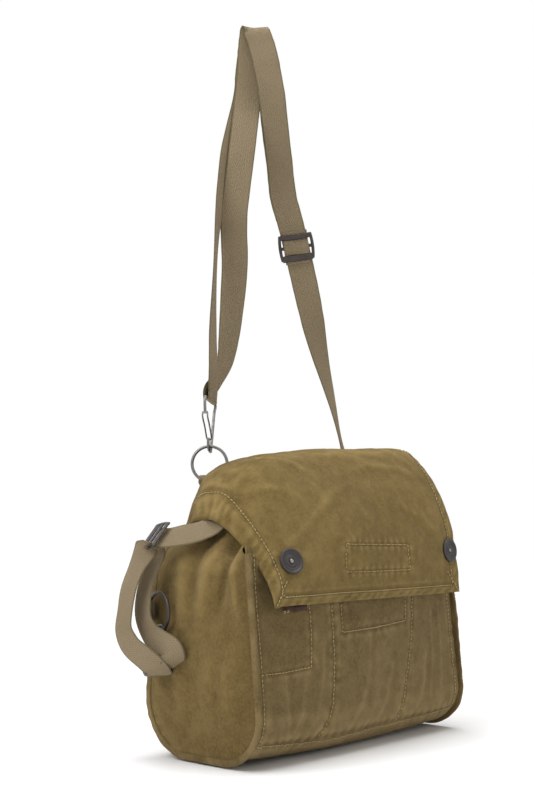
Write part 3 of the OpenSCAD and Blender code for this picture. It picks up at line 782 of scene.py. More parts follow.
def welt(side, seed):
    def place(u, v):
        y, z, run, ny, nz = rib_frame(v)
        out, wide = section(u, 0.55, 0.6)
        out, wide = 1.3 + 2.9 * out, 1.25 * wide
        q = triple(0, y, z)
        wave = 0.2 * np.sin(run * TURN / 13 + 5 * grain(q, 30, seed)) + 0.6 * grain(q, 19, seed + 1)
        low = ease((z - 1) / 9)
        out = out + (0.5 * grain(q, 11, seed + 2) + 0.4 * wave) * low * (out > 1)
        wide = wide + 0.9 * wave * ease((out + 1) / 4)
        above_floor = np.maximum(z + out * nz, 0.05 + 0.2 * wide ** 2)
        return squeezed(triple(side * (HALF + 1.3 + wide), y + out * ny, above_floor))
    return place


for side, name in ((-1, "left"), (1, "right")):
    made = tube(f"{name}_welt", 18, 420, welt(side, 40 + side), scaled(0.013, 0.52))
    add_wear_and_shade(made.data, 0.52 + 0.3 * grain(read(made.data.vertices, "co", 3) / MM, 14, 47))
    dress(made, OLIVE, "bag", "canvas", (f"{name}_seam_rib",))

# ---- the flap ----

HEM_Z = 127
RIDGE = 0.30          # share of the way down at which the flap turns over the front's top
FLAP_HALF = 128       # half of its width where it hangs, used for places on the cloth
FLAP_LONG = 208.0     # from the hinge down the cloth to the hem
SPLIT = 0.285         # share of the way down at which its two parts meet
INSET = 10.2          # from the edge to the hem's stitching
# The flap's side view, as (y, z) from the hinge down to the hem, at ten places across
HEM_AT = (-70, HEM_Z)
FLAP_KNOTS = [0, 0.1, 0.2, RIDGE, 0.44, 0.58, 0.72, 0.86, 1]
FLAP_LINES = {
    -134: [(47, 183), (30, 190), (14, 193.5), (1, 194), (-15, 187), (-34, 173), (-48, 160), (-61, 145)],
    -122: [(47, 209), (30, 216), (14, 219), (-4, 218), (-22, 204), (-39, 187), (-54, 169), (-65, 150)],
    -108: [(47, 228), (30, 232), (14, 234), (-10, 232), (-30, 216), (-47, 194), (-60, 173), (-68, 151)],
    -88: [(47, 239), (30, 242), (14, 243.5), (-13, 242), (-34, 224), (-52, 199), (-63, 175), (-69, 151)],
    -55: [(47, 248), (30, 251), (14, 252), (-15, 250), (-36, 231), (-55, 204), (-66, 177), (-70, 152)],
    0: [(47, 253), (30, 256), (14, 257), (-16, 255), (-38, 236), (-57, 207), (-67, 178), (-70, 151)],
    60: [(47, 256), (30, 259), (14, 260.5), (-16, 259), (-38, 239), (-57, 208), (-67, 178), (-70, 151)],
    108: [(47, 256), (30, 259.5), (14, 261), (-17, 260), (-39, 240), (-56, 208), (-66, 178), (-69, 151)],
    124: [(47, 254), (30, 258), (14, 260), (-17, 259.5), (-39, 239), (-55, 208), (-65, 178), (-68, 151)],
    134: [(47, 246), (30, 251), (14, 254.5), (-16, 254), (-38, 235), (-54, 207), (-64, 178), (-68, 151)],
}


def flap_raw(u, s):
    """The flap from its side views; s runs from 0 at the hinge to 1 at the hem."""
    stations = np.array(list(FLAP_LINES), float)
    x = lerp(-1.0, 1.0, u) * FLAP_EDGE
    last = len(FLAP_KNOTS) - 1
    k = np.interp(s, FLAP_KNOTS, np.arange(last + 1)) / last
    lines = np.stack([curve_at([*line, HEM_AT], k) for line in FLAP_LINES.values()])
    i = np.clip(np.searchsorted(stations, x, side="right") - 1, 0, len(stations) - 2)
    f = (x - stations[i]) / (stations[i + 1] - stations[i])
    slope = np.gradient(lines, stations, axis=0)
    n = np.arange(len(x))
    a, b = lines[i, n], lines[i + 1, n]
    gap = (stations[i + 1] - stations[i])[:, None]
    da, db = slope[i, n] * gap, slope[i + 1, n] * gap
    f = f[:, None]
    q = ((2 * f ** 3 - 3 * f ** 2 + 1) * a + (f ** 3 - 2 * f ** 2 + f) * da
         + (3 * f ** 2 - 2 * f ** 3) * b + (f ** 3 - f ** 2) * db)
    return squeezed(triple(x * (1 - 0.045 * ease(s / 0.42)), q[:, 0], q[:, 1]))


def flap(u, s):
    """The flap's outer face, its ridge rounded over."""
    total = 0
    for step, weight in ((-0.05, 1), (-0.025, 2), (0, 3), (0.025, 2), (0.05, 1)):
        near = np.clip(s + step * ease(np.minimum(s, 1 - s) / 0.12), 0, 1)
        total = total + weight * flap_raw(u, near)
    return total / 9


def flap_u(x):
    return (x / FLAP_HALF + 1) / 2


def flap_s(x, z):
    """How far down the flap a height lies, at a distance from the middle."""
    s = np.linspace(RIDGE, 1, 200)
    out = []
    for a, b in zip(np.atleast_1d(x), np.atleast_1d(z)):
        q = flap(np.full(200, flap_u(a)), s)
        out.append(np.interp(-b, -q[:, 2], s))
    return np.array(out)


# The stitched rectangle, as (x, z), and the buttons, as (x, distance down the cloth)
PATCH = [(-38, 174), (51, 172), (51, 150), (-38, 151), (-38, 174)]
BUTTON_PLACES = [(-104, 165), (118, 163)]
# Creases on the flap, as (x, distance from the hinge line down the cloth)
FLAP_CREASES = [
    [(-104, 150), (-70, 128), (-30, 108), (10, 98)], [(-20, 96), (40, 84), (104, 96), (126, 104)],
    [(-118, 78), (-92, 92), (-66, 112)], [(60, 22), (84, 46), (92, 74), (118, 100)],
    [(-96, 40), (-62, 66), (-38, 96)], [(104, 148), (84, 132), (50, 122)], [(20, 58), (58, 70), (98, 64)],
    [(-60, 168), (-30, 150), (-6, 140)], [(96, 20), (108, 44), (120, 52)], [(-30, 52), (-2, 66), (28, 60)],
    [(-126, 60), (-112, 66), (-98, 62)],
]


def flap_height(u, s, p):
    x = lerp(-1.0, 1.0, u) * FLAP_HALF
    d = s * FLAP_LONG
    edge = np.minimum((1 - np.abs(2 * u - 1)) * FLAP_HALF, (1 - s) * FLAP_LONG)
    inner = ease((edge - 8) / 16)
    q = triple(x, d, 0)
    slanted = q @ np.array([[0.8, -0.6, 0], [0.6, 0.8, 0], [0, 0, 1]])
    lumps = 1.7 * grain(p, 58, 51) + 1.1 * grain(slanted, (52, 19, 40), 52)
    h = lumps * lerp(0.35, 1, inner) + 0.35 * grain(p, 12, 53) + 0.18 * grain(p, 6, 54)
    for line in FLAP_CREASES:
        near, run = from_line(x, d, line)
        fade = np.sin(np.pi * np.clip(run / max(run.max(), 1), 0.02, 0.98))
        h = h + fade * inner * (0.8 * bell(near, 4.5) - 0.5 * bell(near - 9, 6))
    for bx, bd in BUTTON_PLACES:
        near = np.hypot(x - bx, d - bd)
        h = h - 1.6 * bell(near, 13) + 0.5 * bell(near - 20, 7) * np.cos(5 * np.arctan2(d - bd, x - bx))
    hem = ease((11.5 - edge) / 1.6)
    h = h + 0.7 * hem - 0.8 * bell(edge - INSET, 1.2)
    h = h + 0.28 * bell(edge - 5, 5) * np.sin((x + d) * TURN / 13.5 + 6 * grain(p, 26, 55))
    corner, _ = from_line(x, d, [(-FLAP_HALF, FLAP_LONG), (-116, 188)])
    h = h - 0.7 * bell(corner, 1.4)
    patch, run = from_line(x, p[:, 2], PATCH)
    h = h - (0.9 * bell(patch, 1.5) - 0.35 * bell(patch, 6) * np.sin(run * TURN / 9)) * (s > 0.6)
    h = h + 2.6 * dab(x + FLAP_HALF, 9, d - 70, 9)
    h = h - 1.8 * dab(x + 116, 7, d - 82, 10)
    return h * lerp(0.25, 1, ease(s / 0.05))


def flap_wear_and_shade(p):
    rub = 0.10 * grain(p, 40, 56) + 0.25 * bell(p[:, 2] - 254, 7) * bell(p[:, 1] + 14, 14)
    x = p[:, 0]
    edge = np.minimum(FLAP_HALF - np.abs(x), (p[:, 2] - HEM_Z) * 1.1)
    # paler rubbed edge, painted shade in the groove of the hem's stitching, and paler on the hem band's inner
    # edge
    return rub + 0.22 * bell(edge, 1.6) - 0.22 * bell(edge - INSET, 1.1) + 0.15 * bell(edge - 12.5, 1.2)


def flap_part(name, columns, rows, low, high, cut):
    return cloth(name, columns, rows, lambda u, v: flap(u, lerp(low, high, v)),
                 lambda u, v, p: flap_height(u, lerp(low, high, v), p), 1.7, cut, -1, flap_wear_and_shade)


flap_over = flap_part("flap_over", 150, 52, 0, SPLIT, (0.265, 0.06))
flap_down = flap_part("flap_down", 170, 140, SPLIT, 1, (0.256, 0.148))


def match_normals(a, b, limit=0.0006):
    """Gives two cloths that meet edge to edge the same shading along their common line."""
    pa, pb = (read(obj.data.vertices, "co", 3) for obj in (a, b))
    na, nb = (read(obj.data.vertices, "normal", 3) for obj in (a, b))
    for i in np.where(np.abs(pa[:, 1] - pb[:, 1].max()) < 0.004)[0]:
        d = np.linalg.norm(pb - pa[i], axis=1)
        j = int(d.argmin())
        if d[j] < limit and na[i] @ nb[j] > 0.3:
            na[i] = nb[j] = unit(na[i] + nb[j])
    for obj, n in ((a, na), (b, nb)):
        obj.data.normals_split_custom_set_from_vertices([tuple(q) for q in n])


dress(flap_over, FLAP_TOPLIT_OLIVE, None, "canvas", ("flap_top",))
dress(flap_down, FLAP_TOPLIT_OLIVE, None, "canvas", ("flap_front", "hem_band", "flap_patch"))

# ---- seams ----


def seam_run(place, us, vs):
    """Points and normals along a broken line on a surface."""
    u, v = resampled(np.stack([us, vs], -1), 60)
    return place(u, v), outward(place, u, v, -1)


def flap_run(line):
    x, d = resampled(line, 30)
    return seam_run(flap_place, flap_u(x), d / FLAP_LONG)


def welt_runs(side, seed, inset):
    k = np.linspace(0.01, 0.99, 700)
    y, z, _, ny, nz = rib_frame(k)
    p = triple(side * (HALF + 3.3), y + inset * ny, z + inset * nz)
    p[:, 0] = welt(side, seed)(np.full(700, 0.25 if side > 0 else 0.75), k)[:, 0]
    return p, triple(np.full(700, float(side)), 0, 0)


shell_place = raised(shell, shell_height, -1)
flap_place = raised(flap, flap_height, -1)
stitches("front_stitching",
         [seam_run(shell_place, *front_uv(*resampled(line, 14))) for line in FRONT_SEAMS], "bag")

stitch_x, split_d, hem_d = FLAP_HALF - INSET, SPLIT * FLAP_LONG, FLAP_LONG - INSET
patch_line = [(x, float(flap_s(x, z)[0]) * FLAP_LONG) for x, z in PATCH]
thread_flap = stitches("flap_stitching", [
    flap_run([(-stitch_x, split_d), (-stitch_x, hem_d), (stitch_x, hem_d), (stitch_x, split_d)]),
    flap_run([(-127, 206.5), (-112, 184)]), flap_run([(127, 206.5), (112, 184)]), flap_run(patch_line),
])
thread_over = stitches("flap_side_stitching",
                       [flap_run([(x, 4), (x, split_d)]) for x in (-stitch_x, stitch_x)])
welt_lines = [welt_runs(side, seed, inset) for side, seed in ((-1, 39), (1, 41)) for inset in (0.2, 3.0)]
stitches("welt_stitching", welt_lines, "bag", pitch=3.3, length=2.5, width=0.6)

# ---- webbing ----


def turned(a):
    a = np.radians(a)
    return triple(np.cos(a), np.sin(a), 0)


def web_frame(route, k):
    """Middle of a webbing, the way across it and the way out of its face."""
    q = curve_at(route, k)
    e = 0.35 / (len(route) * 4)
    way = unit(curve_at(route, k + e)[:, :3] - curve_at(route, k - e)[:, :3])
    tilt = np.radians(q[:, 4])
    flat = turned(q[:, 3]) * np.cos(tilt)[:, None] + triple(0, 0, np.sin(tilt))
    across = unit(flat - way * np.einsum("ij,ij->i", flat, way)[:, None])
    return q[:, :3], across, np.cross(way, across)


def curve_length(route, steps):
    p = curve_at(route, np.linspace(0, 1, steps))[:, :3]
    return float(np.linalg.norm(np.diff(p, axis=0), axis=1).sum())


def tape_section(u):
    return section(u, 0.35, 0.75)


def tape_chart(width, long):
    return lambda u, v: (tape_section(u)[0] * width / 2 * MM, v * long * MM)


def webbing(name, route, width, thick=1.4, seed=1, cup=0.5, ripple=0.35):
    """Woven tape along a route of (x, y, z, turn of its width, tilt of its width)."""
    long = curve_length(route, 800)

    def place(u, v):
        c, across, up = web_frame(route, v)
        w, t = tape_section(u)
        q = triple(v * long, 0, 0)
        edge = 0.35 * grain(q, 7, seed) * np.abs(w) ** 6
        bow = cup * (w * w - 0.4) + ripple * grain(q + triple(0, w * 6, 0), (26, 9, 9), seed + 3)
        return c + across * (w * width / 2 + np.sign(w) * edge)[:, None] + up * (t * thick / 2 + bow)[:, None]

    return tube(name, 28, max(24, int(long / 2.2)), place, tape_chart(width, long), 70)


def level(rows):
    """Route rows of webbing whose width is level."""
    return [(*row, 0) for row in rows]


# The shoulder hook: turn of its plane, length of its eye bar, height of its bend and its length.
# Then the waist hook: length of its eye bar and its length.
HOOK_TURN, HOOK_BAR, HOOK_FOOT, HOOK_REACH = 27, 28, 256.8, 46
WAIST_BAR, WAIST_REACH = 23, 38
HOOK_WIRE = 1.3
RING_AT = (-68, 63)
EYE_TILT = math.degrees(math.atan2(-4, HOOK_BAR - 4))
EYE_OFF = HOOK_WIRE + 0.3 + 0.7       # from the eye bar's middle to the webbing's


def at_eye(side, rise):
    """Where the shoulder webbing leaves the hook's eye bar, on either side of it."""
    c, s = math.cos(math.radians(HOOK_TURN)), math.sin(math.radians(HOOK_TURN))
    lean = -rise * math.sin(math.radians(EYE_TILT))
    x = RING_AT[0] + 1.8 * c - s * EYE_OFF * side + lean * c
    y = RING_AT[1] + 1.8 * s + c * EYE_OFF * side + lean * s
    return (x, y, HOOK_FOOT + HOOK_REACH - 1 + rise, HOOK_TURN, EYE_TILT)


def leg_x(z):
    """The strap's right leg leans straight outwards below its top."""
    return 48 + (458 - z) * 0.378


STRAP_TURN = -48      # turn of the strap's width, straight across the camera's view
SLIDE_AT = (48, 60, 458)
RUNNING = [at_eye(-1, -1), at_eye(-1, 10)] + level([
    (-69, 57.5, 330, 28), (-74, 53.5, 360, 30), (-70, 55, 415, 38), (-60.4, 61.1, 465, 34),
    (-47.2, 69.0, 500, 25), (-32.6, 73.5, 535, 5), (-12.8, 72.5, 590, -25), (-13.1, 66.9, 620, -44),
    (-13.7, 63.7, 640, -48),
    (-14.5, 61, 652.5, -48), (-16.9, 56.1, 658, -48), (-19.1, 51.1, 652.5, -48), (-16.9, 47.1, 640, -48),
    (-14, 43.2, 620, -48), (-7.9, 41.6, 590, -48), (5.2, 48, 558, -48), (18.2, 54.6, 530, -48),
    (leg_x(505) - 1, 60, 505, -48), (leg_x(475), 60, 475, -48), (leg_x(440), 60, 440, -48),
    (leg_x(405) - 1, 60, 405, -36), (83, 61, 360, -4), (102, 61, 312, 20),
    (113, 58, 270, 32), (119, 54, 240, 14),
    (122, 51.4, 224, 0), (122, 52.4, 206, 0), (122, 53.4, 193, 0),
])
RETURN = [at_eye(1, -1), at_eye(1, 6)] + level([
    (-54, 68, 319, 24), (-45, 66, 339, 8), (-42, 64, 362, -6), (-40, 62, 394, -18), (-39, 60, 430, -30),
    (-40, 60, 475, -38), (-28.6, 61.7, 535, -44), (-16.8, 64.9, 590, -47), (-15.8, 62.4, 620, -48),
    (-16.1, 60.9, 638, -48), (-16.1, 59.5, 650, -48), (-16.9, 56.1, 655.2, -48), (-17.2, 52.2, 650, -48),
    (-14.9, 49.4, 638, -48), (-11.5, 44.8, 615, -48), (-5.1, 44.5, 587, -48), (8, 50.9, 556, -48),
    (20.2, 56.7, 530, -48), (leg_x(507) + 1, 62.5, 507, -48), (leg_x(486) + 2, 62.5, 486, -48),
])
running = dress(webbing("running_webbing", RUNNING, 25, seed=61), WEB, None, "webbing",
                ("strap_running_length", "strap_anchor_patch"))
dress(webbing("return_webbing", RETURN, 25, seed=62), WEB, "shoulder_strap", "webbing",
      ("strap_return_length",))

# ---- wire, rings and bent webbing ----


def rod(path, radius):
    """Round wire along path(k), k from 0 to 1, as points in millimetres."""
    def place(u, v):
        e = 0.002
        way = unit(path(v + e) - path(v - e))
        ref = np.where(np.abs(way[:, 2:]) > 0.9, triple(np.zeros(len(v)), 1, 0),
                       triple(np.zeros(len(v)), 0, 1))
        side = unit(np.cross(way, ref))
        a = TURN * u
        return path(v) + (side * np.cos(a)[:, None] + np.cross(side, way) * np.sin(a)[:, None]) * radius
    return place


def sweep(name, path, radius, normal, rows, ends=True):
    """Wire whose path lies in a plane with that normal."""
    def place(u, v):
        e = 0.5 / rows
        way = unit(path(v + e) - path(v - e))
        out = unit(np.cross(way, normal[None, :]))
        a = TURN * u
        return path(v) + out * (np.cos(a) * radius)[:, None] + normal[None, :] * (np.sin(a) * radius)[:, None]

    return tube(name, 16, rows, place, scaled(0.01, 0.1), ends=ends)


def circle_path(centre, turn, radius):
    way = turned(turn)

    def path(v):
        a = TURN * np.asarray(v)
        return (np.asarray(centre, float) + way * (np.cos(a) * radius)[:, None]
                + triple(0, 0, np.sin(a)) * radius)
    return path


def side_of(turn):
    return np.array([math.sin(math.radians(turn)), -math.cos(math.radians(turn)), 0])


RING_R, RING_WIRE = 15.6, 1.4
SIDE_RING_AT, SIDE_RING_TURN = (-151, 39, 119), 78
for name, centre, turn, metal, body, node in (
        ("shoulder_ring_wire", (*RING_AT, 243.6), STRAP_TURN, STEEL, "ring", "shoulder_ring"),
        ("side_ring_wire", SIDE_RING_AT, SIDE_RING_TURN, BLACKENED, "side_ring_body", "side_ring")):
    ring = sweep(name, circle_path(centre, turn, RING_R), RING_WIRE, side_of(turn), 96, ends=False)
    dress(ring, metal, body, "bright_steel", (node,))


def hook_route(bar, reach):
    """The hook's wire in its own plane, from the gate's tip round the bend and the eye bar to its pin."""
    h = bar / 2
    return [(-5.2, 10), (-4.8, 3), (-2.8, -0.8), (0.4, -1.8), (3.2, 1), (h - 2, reach - 14),
            (h + 1.2, reach - 8), (h - 1, reach - 4), (-h + 3, reach), (-h - 0.6, reach - 1.4),
            (-h - 1.4, reach - 6), (-h - 0.6, reach - 13)]


def hook_place(kind):
    """Moves points of a hook's own plane to the bag: X along the hook's bar, Z up from its bend."""
    if kind == "shoulder":
        base, turn, flip = np.array([*RING_AT, HOOK_FOOT]), HOOK_TURN, 1
    else:
        base, turn, flip = np.array([*SIDE_RING_AT[:2], SIDE_RING_AT[2] - RING_R + 2.4]), -52, -1
    way = turned(turn)
    side = np.cross([0, 0, 1.0], way) * flip

    def move(x, y, z):
        x, y, z = np.asarray(x, float) + 0.8, np.asarray(y, float), np.asarray(z, float) * flip
        return base + way * x[..., None] + side * y[..., None] + np.array([0, 0, 1.0]) * z[..., None]
    return move, side


def make_hook(kind, bar, reach, body, gate_body, gate_wire=0.75):
    """A spring hook of bent wire with a narrower wire gate."""
    move, side = hook_place(kind)
    route = hook_route(bar, reach)

    def path(v):
        q = curve_at(route, v)
        return move(q[:, 0], np.zeros(len(q)), q[:, 1])

    hook = sweep(f"{kind}_hook_wire", path, HOOK_WIRE, side, 150)
    dress(hook, STEEL, body, "bright_steel", (f"{kind}_hook",))
    px, pz = -bar / 2 - 0.6, reach - 14.2
    bow = [(px, 0, pz + 0.8), (px, 2.1, pz + 0.3), (px + 0.2, 2.35, pz - 4),
           ((px - 2.7) / 2, 2.3, (pz + 8.6) / 2), (-3.2, 2.3, 11), (-2.7, 1.5, 8.8), (-2.6, 0, 8.3)]
    points = bow + [(a, -b, c) for a, b, c in bow[-2::-1]]
    gate = tube(f"{kind}_gate_wire", 12, 160, rod(lambda v: move(*curve_at(points, v).T), gate_wire),
                scaled(0.01, 0.1))
    dress(gate, STEEL, gate_body, "bright_steel", (f"{kind}_gate",))


def eye_wrap(kind, reach, width, tilt):
    """Webbing bent round a hook's eye bar."""
    move, side = hook_place(kind)
    axis = unit(move(math.cos(tilt), 0, math.sin(tilt)) - move(0, 0, 0))
    centre = move(1, 0, reach - 2 + (1 if kind == "shoulder" else 0))
    down = np.cross(axis, side)
    down = down * (-1 if (down[2] > 0) == (kind == "shoulder") else 1)

    def place(u, v):
        a = np.pi * v
        w, t = tape_section(u)
        r = 2.3 + t * 0.7
        bent = side * (np.cos(a) * r)[:, None] + down * (np.sin(a) * r)[:, None]
        return centre + axis * (w * width / 2)[:, None] + bent

    return tube(f"{kind}_eye_wrap", 28, 24, place,
                lambda u, v: (np.cos(TURN * u) * width / 2 * MM, v * 0.008), 70)


make_hook("shoulder", HOOK_BAR, HOOK_REACH, "shoulder_strap", "gate")
make_hook("waist", WAIST_BAR, WAIST_REACH, "bag", "waist_gate_body")
dress(eye_wrap("shoulder", HOOK_REACH, 24.5, math.radians(EYE_TILT)), WEB, "shoulder_strap", "webbing",
      ("strap_hook_loop",))
dress(eye_wrap("waist", WAIST_REACH, 19.5, math.atan2(-4, WAIST_BAR - 4)), SLIM_WEB, "bag", "webbing",
      ("waist_eye_loop",))


def chape_route():
    """Up from the sewn end, round the ring's lowest wire and down again."""
    out = side_of(STRAP_TURN)
    up = level([(-68, 53.2, 194, 0), (-68, 53.0, 208, 0), (-68, 53.6, 219, -16), (-68, 57.0, 224.5, -40)])
    for a in (-60, -20, 30, 75, 120, 170, 215):
        b = math.radians(a)
        c = np.array([*RING_AT, 229.4]) + 3.6 * (math.cos(b) * out + math.sin(b) * np.array([0, 0, 1.0]))
        up.append((*c, STRAP_TURN, 0))
    return up + level([(-69.0, 57.2, 222.5, -40), (-68, 54.9, 217, -16),
                       (-68, 54.6, 206, 0), (-68, 54.8, 194, 0)])


chape = webbing("shoulder_chape", chape_route(), 19, 1.3, seed=66, cup=0.1, ripple=0.1)
dress(chape, WEB, None, "webbing", ("chape_patch", "chape_loop"))


def side_chape_route():
    """In plan: out from the sewn end, round the side ring's wire and back."""
    turn = math.radians(SIDE_RING_TURN)
    c = np.array([SIDE_RING_AT[0] + math.cos(turn) * 14.6, SIDE_RING_AT[1] + math.sin(turn) * 14.6])
    route = [(-108, 61.0), (-124, 61.6), (-136, 63.2), (-142, 63.0), (-147, 59.6)]
    for a in (100, 145, 190, 235, 280, 325, 10, 55):
        b = math.radians(a)
        route.append((c[0] + 4.0 * math.cos(b), c[1] + 4.0 * math.sin(b)))
    return route + [(-141.4, 60.9), (-137, 61.5), (-124, 60.0), (-108, 59.5)]


def upright_webbing(name, route, middle, tall, thick):
    """Webbing standing on edge along a plan route of (x, y)."""
    def place(u, v):
        e = 0.004
        c = curve_at(route, v)
        way = unit(curve_at(route, v + e) - curve_at(route, v - e))
        w, t = tape_section(u)
        w, t = w * tall / 2, t * thick / 2
        return triple(c[:, 0] - way[:, 1] * t, c[:, 1] + way[:, 0] * t, middle + w)

    return tube(name, 28, 110, place, tape_chart(tall, curve_length(route, 400)), 70)


dress(upright_webbing("side_chape_webbing", side_chape_route(), SIDE_RING_AT[2], 17, 1.3),
      SLIM_WEB, "bag", "webbing", ("side_chape",))

WAIST_TAIL = [(-117, -4, 203, 90, 10), (-127, -1, 191, 88, 30), (-138, 6, 185, 76, 46),
              (-147, 16, 182, 50, 54),
              (-153, 27, 180, 22, 52), (-156, 35, 180, 0, 48)]
WAIST_OUTER = [
    (-165, 35, 176, 150, -44), (-168, 40, 167, 112, -34), (-171, 46, 154, 90, -12), (-174, 51, 138, 86, 0),
    (-176, 53, 120, 86, 0), (-178, 52, 105, 90, 0), (-178, 43, 93, 98, -14), (-174, 31, 84, 108, -26),
    (-167, 25, 76, 120, -20), (-158, 30, 70.5, 127, -8), (-151.5, 36.5, 68.6, 128, 0),
]
WAIST_INNER = [
    (-159, 35, 172, 150, -44), (-159, 39, 163, 112, -30), (-160, 43, 148, 88, -8), (-163, 45, 132, 85, 0),
    (-164, 44, 115, 88, 0), (-163, 36, 102, 96, -10), (-162, 25, 96, 104, -30), (-160, 15, 91, 114, -40),
    (-158, 15, 82, 124, -30), (-155, 26, 75, 128, -10), (-150, 35, 73.6, 128, 0),
]
for name, route in (("tail", WAIST_TAIL), ("outer", WAIST_OUTER), ("inner", WAIST_INNER)):
    made = webbing(f"waist_{name}_webbing", route, 20, seed=len(f"waist_{name}_webbing"))
    dress(made, SLIM_WEB, "bag", "webbing", ("waist_tail" if name == "tail" else f"waist_{name}_layer",))

# ---- three-bar slides ----


def make_slide(name, place_at, wide, way, w, h, lift, body, node):
    """Pressed slide: two broad end bars, a middle bar and two thin bowed sides."""
    y = unit(np.asarray(way, float))
    x = np.asarray(wide, float)
    x = unit(x - y * (x @ y))
    z = np.cross(x, y)

    def move(a, b, c):
        return np.asarray(place_at, float) + a[:, None] * x + b[:, None] * y + (c + lift)[:, None] * z

    half, tall = w / 2 + 2.2, h / 2 - 2.1
    chart, made = scaled(0.01, 0.03), []
    for b0, thick in ((tall, 2.5), (0.0, 1.7), (-tall, 3.2)):
        def bar(u, v, b0=b0, thick=thick):
            r, t = section(u, 0.7, 0.7)
            return move(lerp(-half, half, v),
                        b0 + thick * r - 0.6 * (1 - (2 * v - 1) ** 2) * (b0 > 1), 0.95 * t)
        made.append(piece(f"{name}_bar", 14, 16, bar, chart, closed=True, ends=True))
    for s in (-1, 1):
        def cheek(u, v, s=s):
            a = TURN * u
            b = lerp(-tall - 2.2, tall + 2.2, v)
            c = s * (half + 1.2 * (1 - (2 * v - 1) ** 2))
            return move(c + 1.5 * np.cos(a), b, 0.9 * np.sin(a))
        made.append(piece(f"{name}_side", 12, 16, cheek, chart, closed=True, ends=True))
    dress(smooth(joined(made, name), 60), BLACKENED, body, "dark_metal", (node,))
    return move


SLIDE_LIFT = 3.9      # the strap slide's frame lies this far in front of the webbing's middle
slide_move = make_slide("strap_slide_frame", SLIDE_AT, turned(STRAP_TURN), (-0.22, 0, 1), 25, 25, SLIDE_LIFT,
                        "slide", "strap_slide")
make_slide("waist_slide_frame", (-157, 38, 181), (0.655, -0.056, 0.75), (-0.213, -0.959, 0.1), 20, 20, 0,
           "bag", "waist_slide")


def bight_route():
    """Webbing looped over the slide's middle bar, as (place along the slide, height over the webbing)."""
    rows = []
    for b, c in ((16, 2.0), (12.5, 2.1), (8.2, 2.2), (4.6, 4.4), (2.6, 6.0), (0, 6.7),
                 (-2.6, 6.0), (-4.6, 4.4),
                 (-8.2, 2.2), (-12.5, 2.1), (-16, 2.0)):
        p = slide_move(np.array([0.0]), np.array([float(b)]), np.array([c - SLIDE_LIFT]))[0]
        rows.append((*p, STRAP_TURN, 0))
    return rows


dress(webbing("slide_bight_webbing", bight_route(), 24.4, 1.3, seed=68, cup=0.1, ripple=0.1),
      WEB, "slide", "webbing", ("slide_bight",))

# ---- buttons ----


def lathe(name, profile, move, sides):
    """A turned piece: profile is a list of (radius, height)."""
    q = np.array(profile, float)

    def place(u, v):
        k = v * (len(q) - 1)
        i = np.minimum(np.round(k).astype(int), len(q) - 1)
        a = TURN * u
        r = q[i, 0] * 0.95
        return move(r * np.cos(a), r * np.sin(a), q[i, 1])

    return tube(name, sides, len(q) - 1, place, scaled(0.05, 0.02), 40, ends=False)


def button_seat(x, d):
    """Middle of the button on the flap's outer face, and the cloth's way out there."""
    u = np.array([flap_u(x)])
    s = np.array([d / FLAP_LONG])
    p = flap_place(u, s)[0]
    a = flap_place(u + 0.045, s)[0] - flap_place(u - 0.045, s)[0]
    b = flap_place(u, s + 0.05)[0] - flap_place(u, s - 0.05)[0]
    n = -unit(np.cross(a, b))
    return p, n


def seat_frame(spot, lift):
    """Moves points of a button's own frame onto the flap."""
    p, n = button_seat(*spot)
    x = unit(np.cross([0, 0, 1.0], n))
    y = np.cross(n, x)
    return lambda a, b, c: p + a[:, None] * x + b[:, None] * y + (c + lift)[:, None] * n


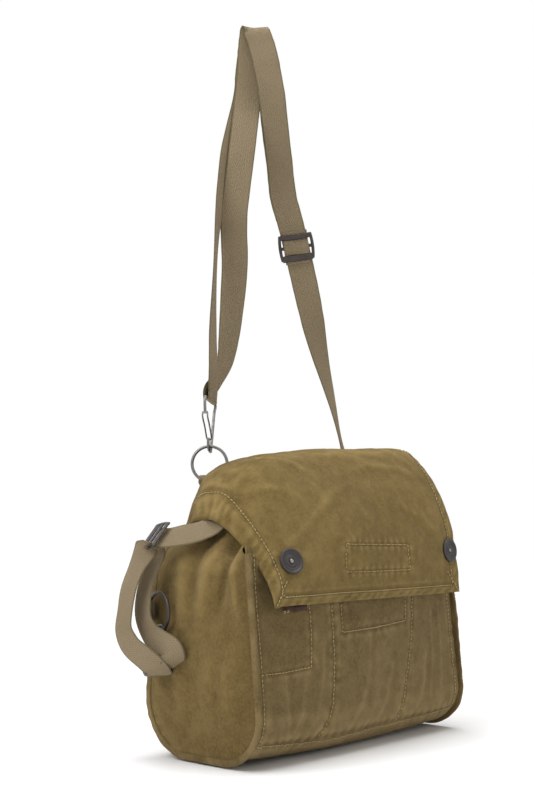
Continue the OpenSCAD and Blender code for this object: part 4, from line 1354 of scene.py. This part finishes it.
CAP = [(0, -0.5), (4, -0.5), (9.8, -0.2), (10.9, 0.2), (11.25, 0.9), (11.2, 1.6), (10.9, 2.1), (10.3, 2.35),
       (9.6, 2.3), (9.1, 1.95), (8.6, 1.45), (7.9, 1.25), (7.5, 1.45), (7.1, 1.45), (6.7, 1.15), (5.6, 1.0),
       (5.2, 1.25), (4.8, 1.5), (4.2, 1.6), (3.2, 1.6), (2.7, 1.35), (2.4, 0.9), (0, 0.9)]
RIVET = [(0, 0.6), (2.0, 0.6), (2.15, 1.2), (1.95, 1.75), (1.3, 2.1), (0.6, 2.25), (0, 2.3)]
for name, profile, sides, material, slot in (("cap", CAP, 56, BUTTON, "button"),
                                             ("rivet", RIVET, 24, STEEL, "bright_steel")):
    made = [lathe(f"button_{name}", profile, seat_frame(spot, 1.0), sides) for spot in BUTTON_PLACES]
    dress(joined(made, f"button_{name}s_turned"), material, "flap_fall", slot, (f"button_{name}s",))

# ---- keeper tab under the flap's left corner ----


def keeper(u, v):
    out, tall = section(u, 0.5, 0.5)
    x, z = lerp(-106, -83, v), 123.5 + 0.3 * np.sin(v * 9)
    return triple(x, front_y(x, z) - 1.8 - 1.5 * out, z + 2.4 * tall)


tab = tube("keeper_tab", 16, 30, keeper, scaled(0.015, 0.022), 70)
dress(tab, TAPE, "bag", "dark_tape", ("front_keeper",))


def tack_run(x0, z0, x1, z1):
    x, z = np.linspace(x0, x1, 20), np.linspace(z0, z1, 20)
    return triple(x, front_y(x, z) - 3.4, z), triple(np.zeros(20), -1, 0)


stitches("keeper_tacks", [tack_run(-110, 122.0, -103, 122.5), tack_run(-110, 120.8, -104, 121.4),
                          tack_run(-84, 125.5, -79, 127.5), tack_run(-84, 124.0, -79.5, 126)],
         "bag", width=0.7)

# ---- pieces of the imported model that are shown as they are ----

for material, names in ((LINING, ("pocket_lining", "left_inner_pocket", "centre_inner_pocket")),
                        (STEEL, ("stud_posts", "stud_backings", "shoulder_gate_pin", "waist_gate_pin")),
                        (BLACKENED, ("button_sockets",))):
    for name in names:
        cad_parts[name].data.materials.clear()
        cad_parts[name].data.materials.append(material)

# ---- pieces on no body (flap, its stitching, running strap, chape): flap shading matched, transforms baked ----

match_normals(flap_over, flap_down)
for obj in (flap_over, thread_over):
    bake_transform(obj)
for obj in (flap_down, thread_flap):
    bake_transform(obj)
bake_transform(running)
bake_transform(chape)
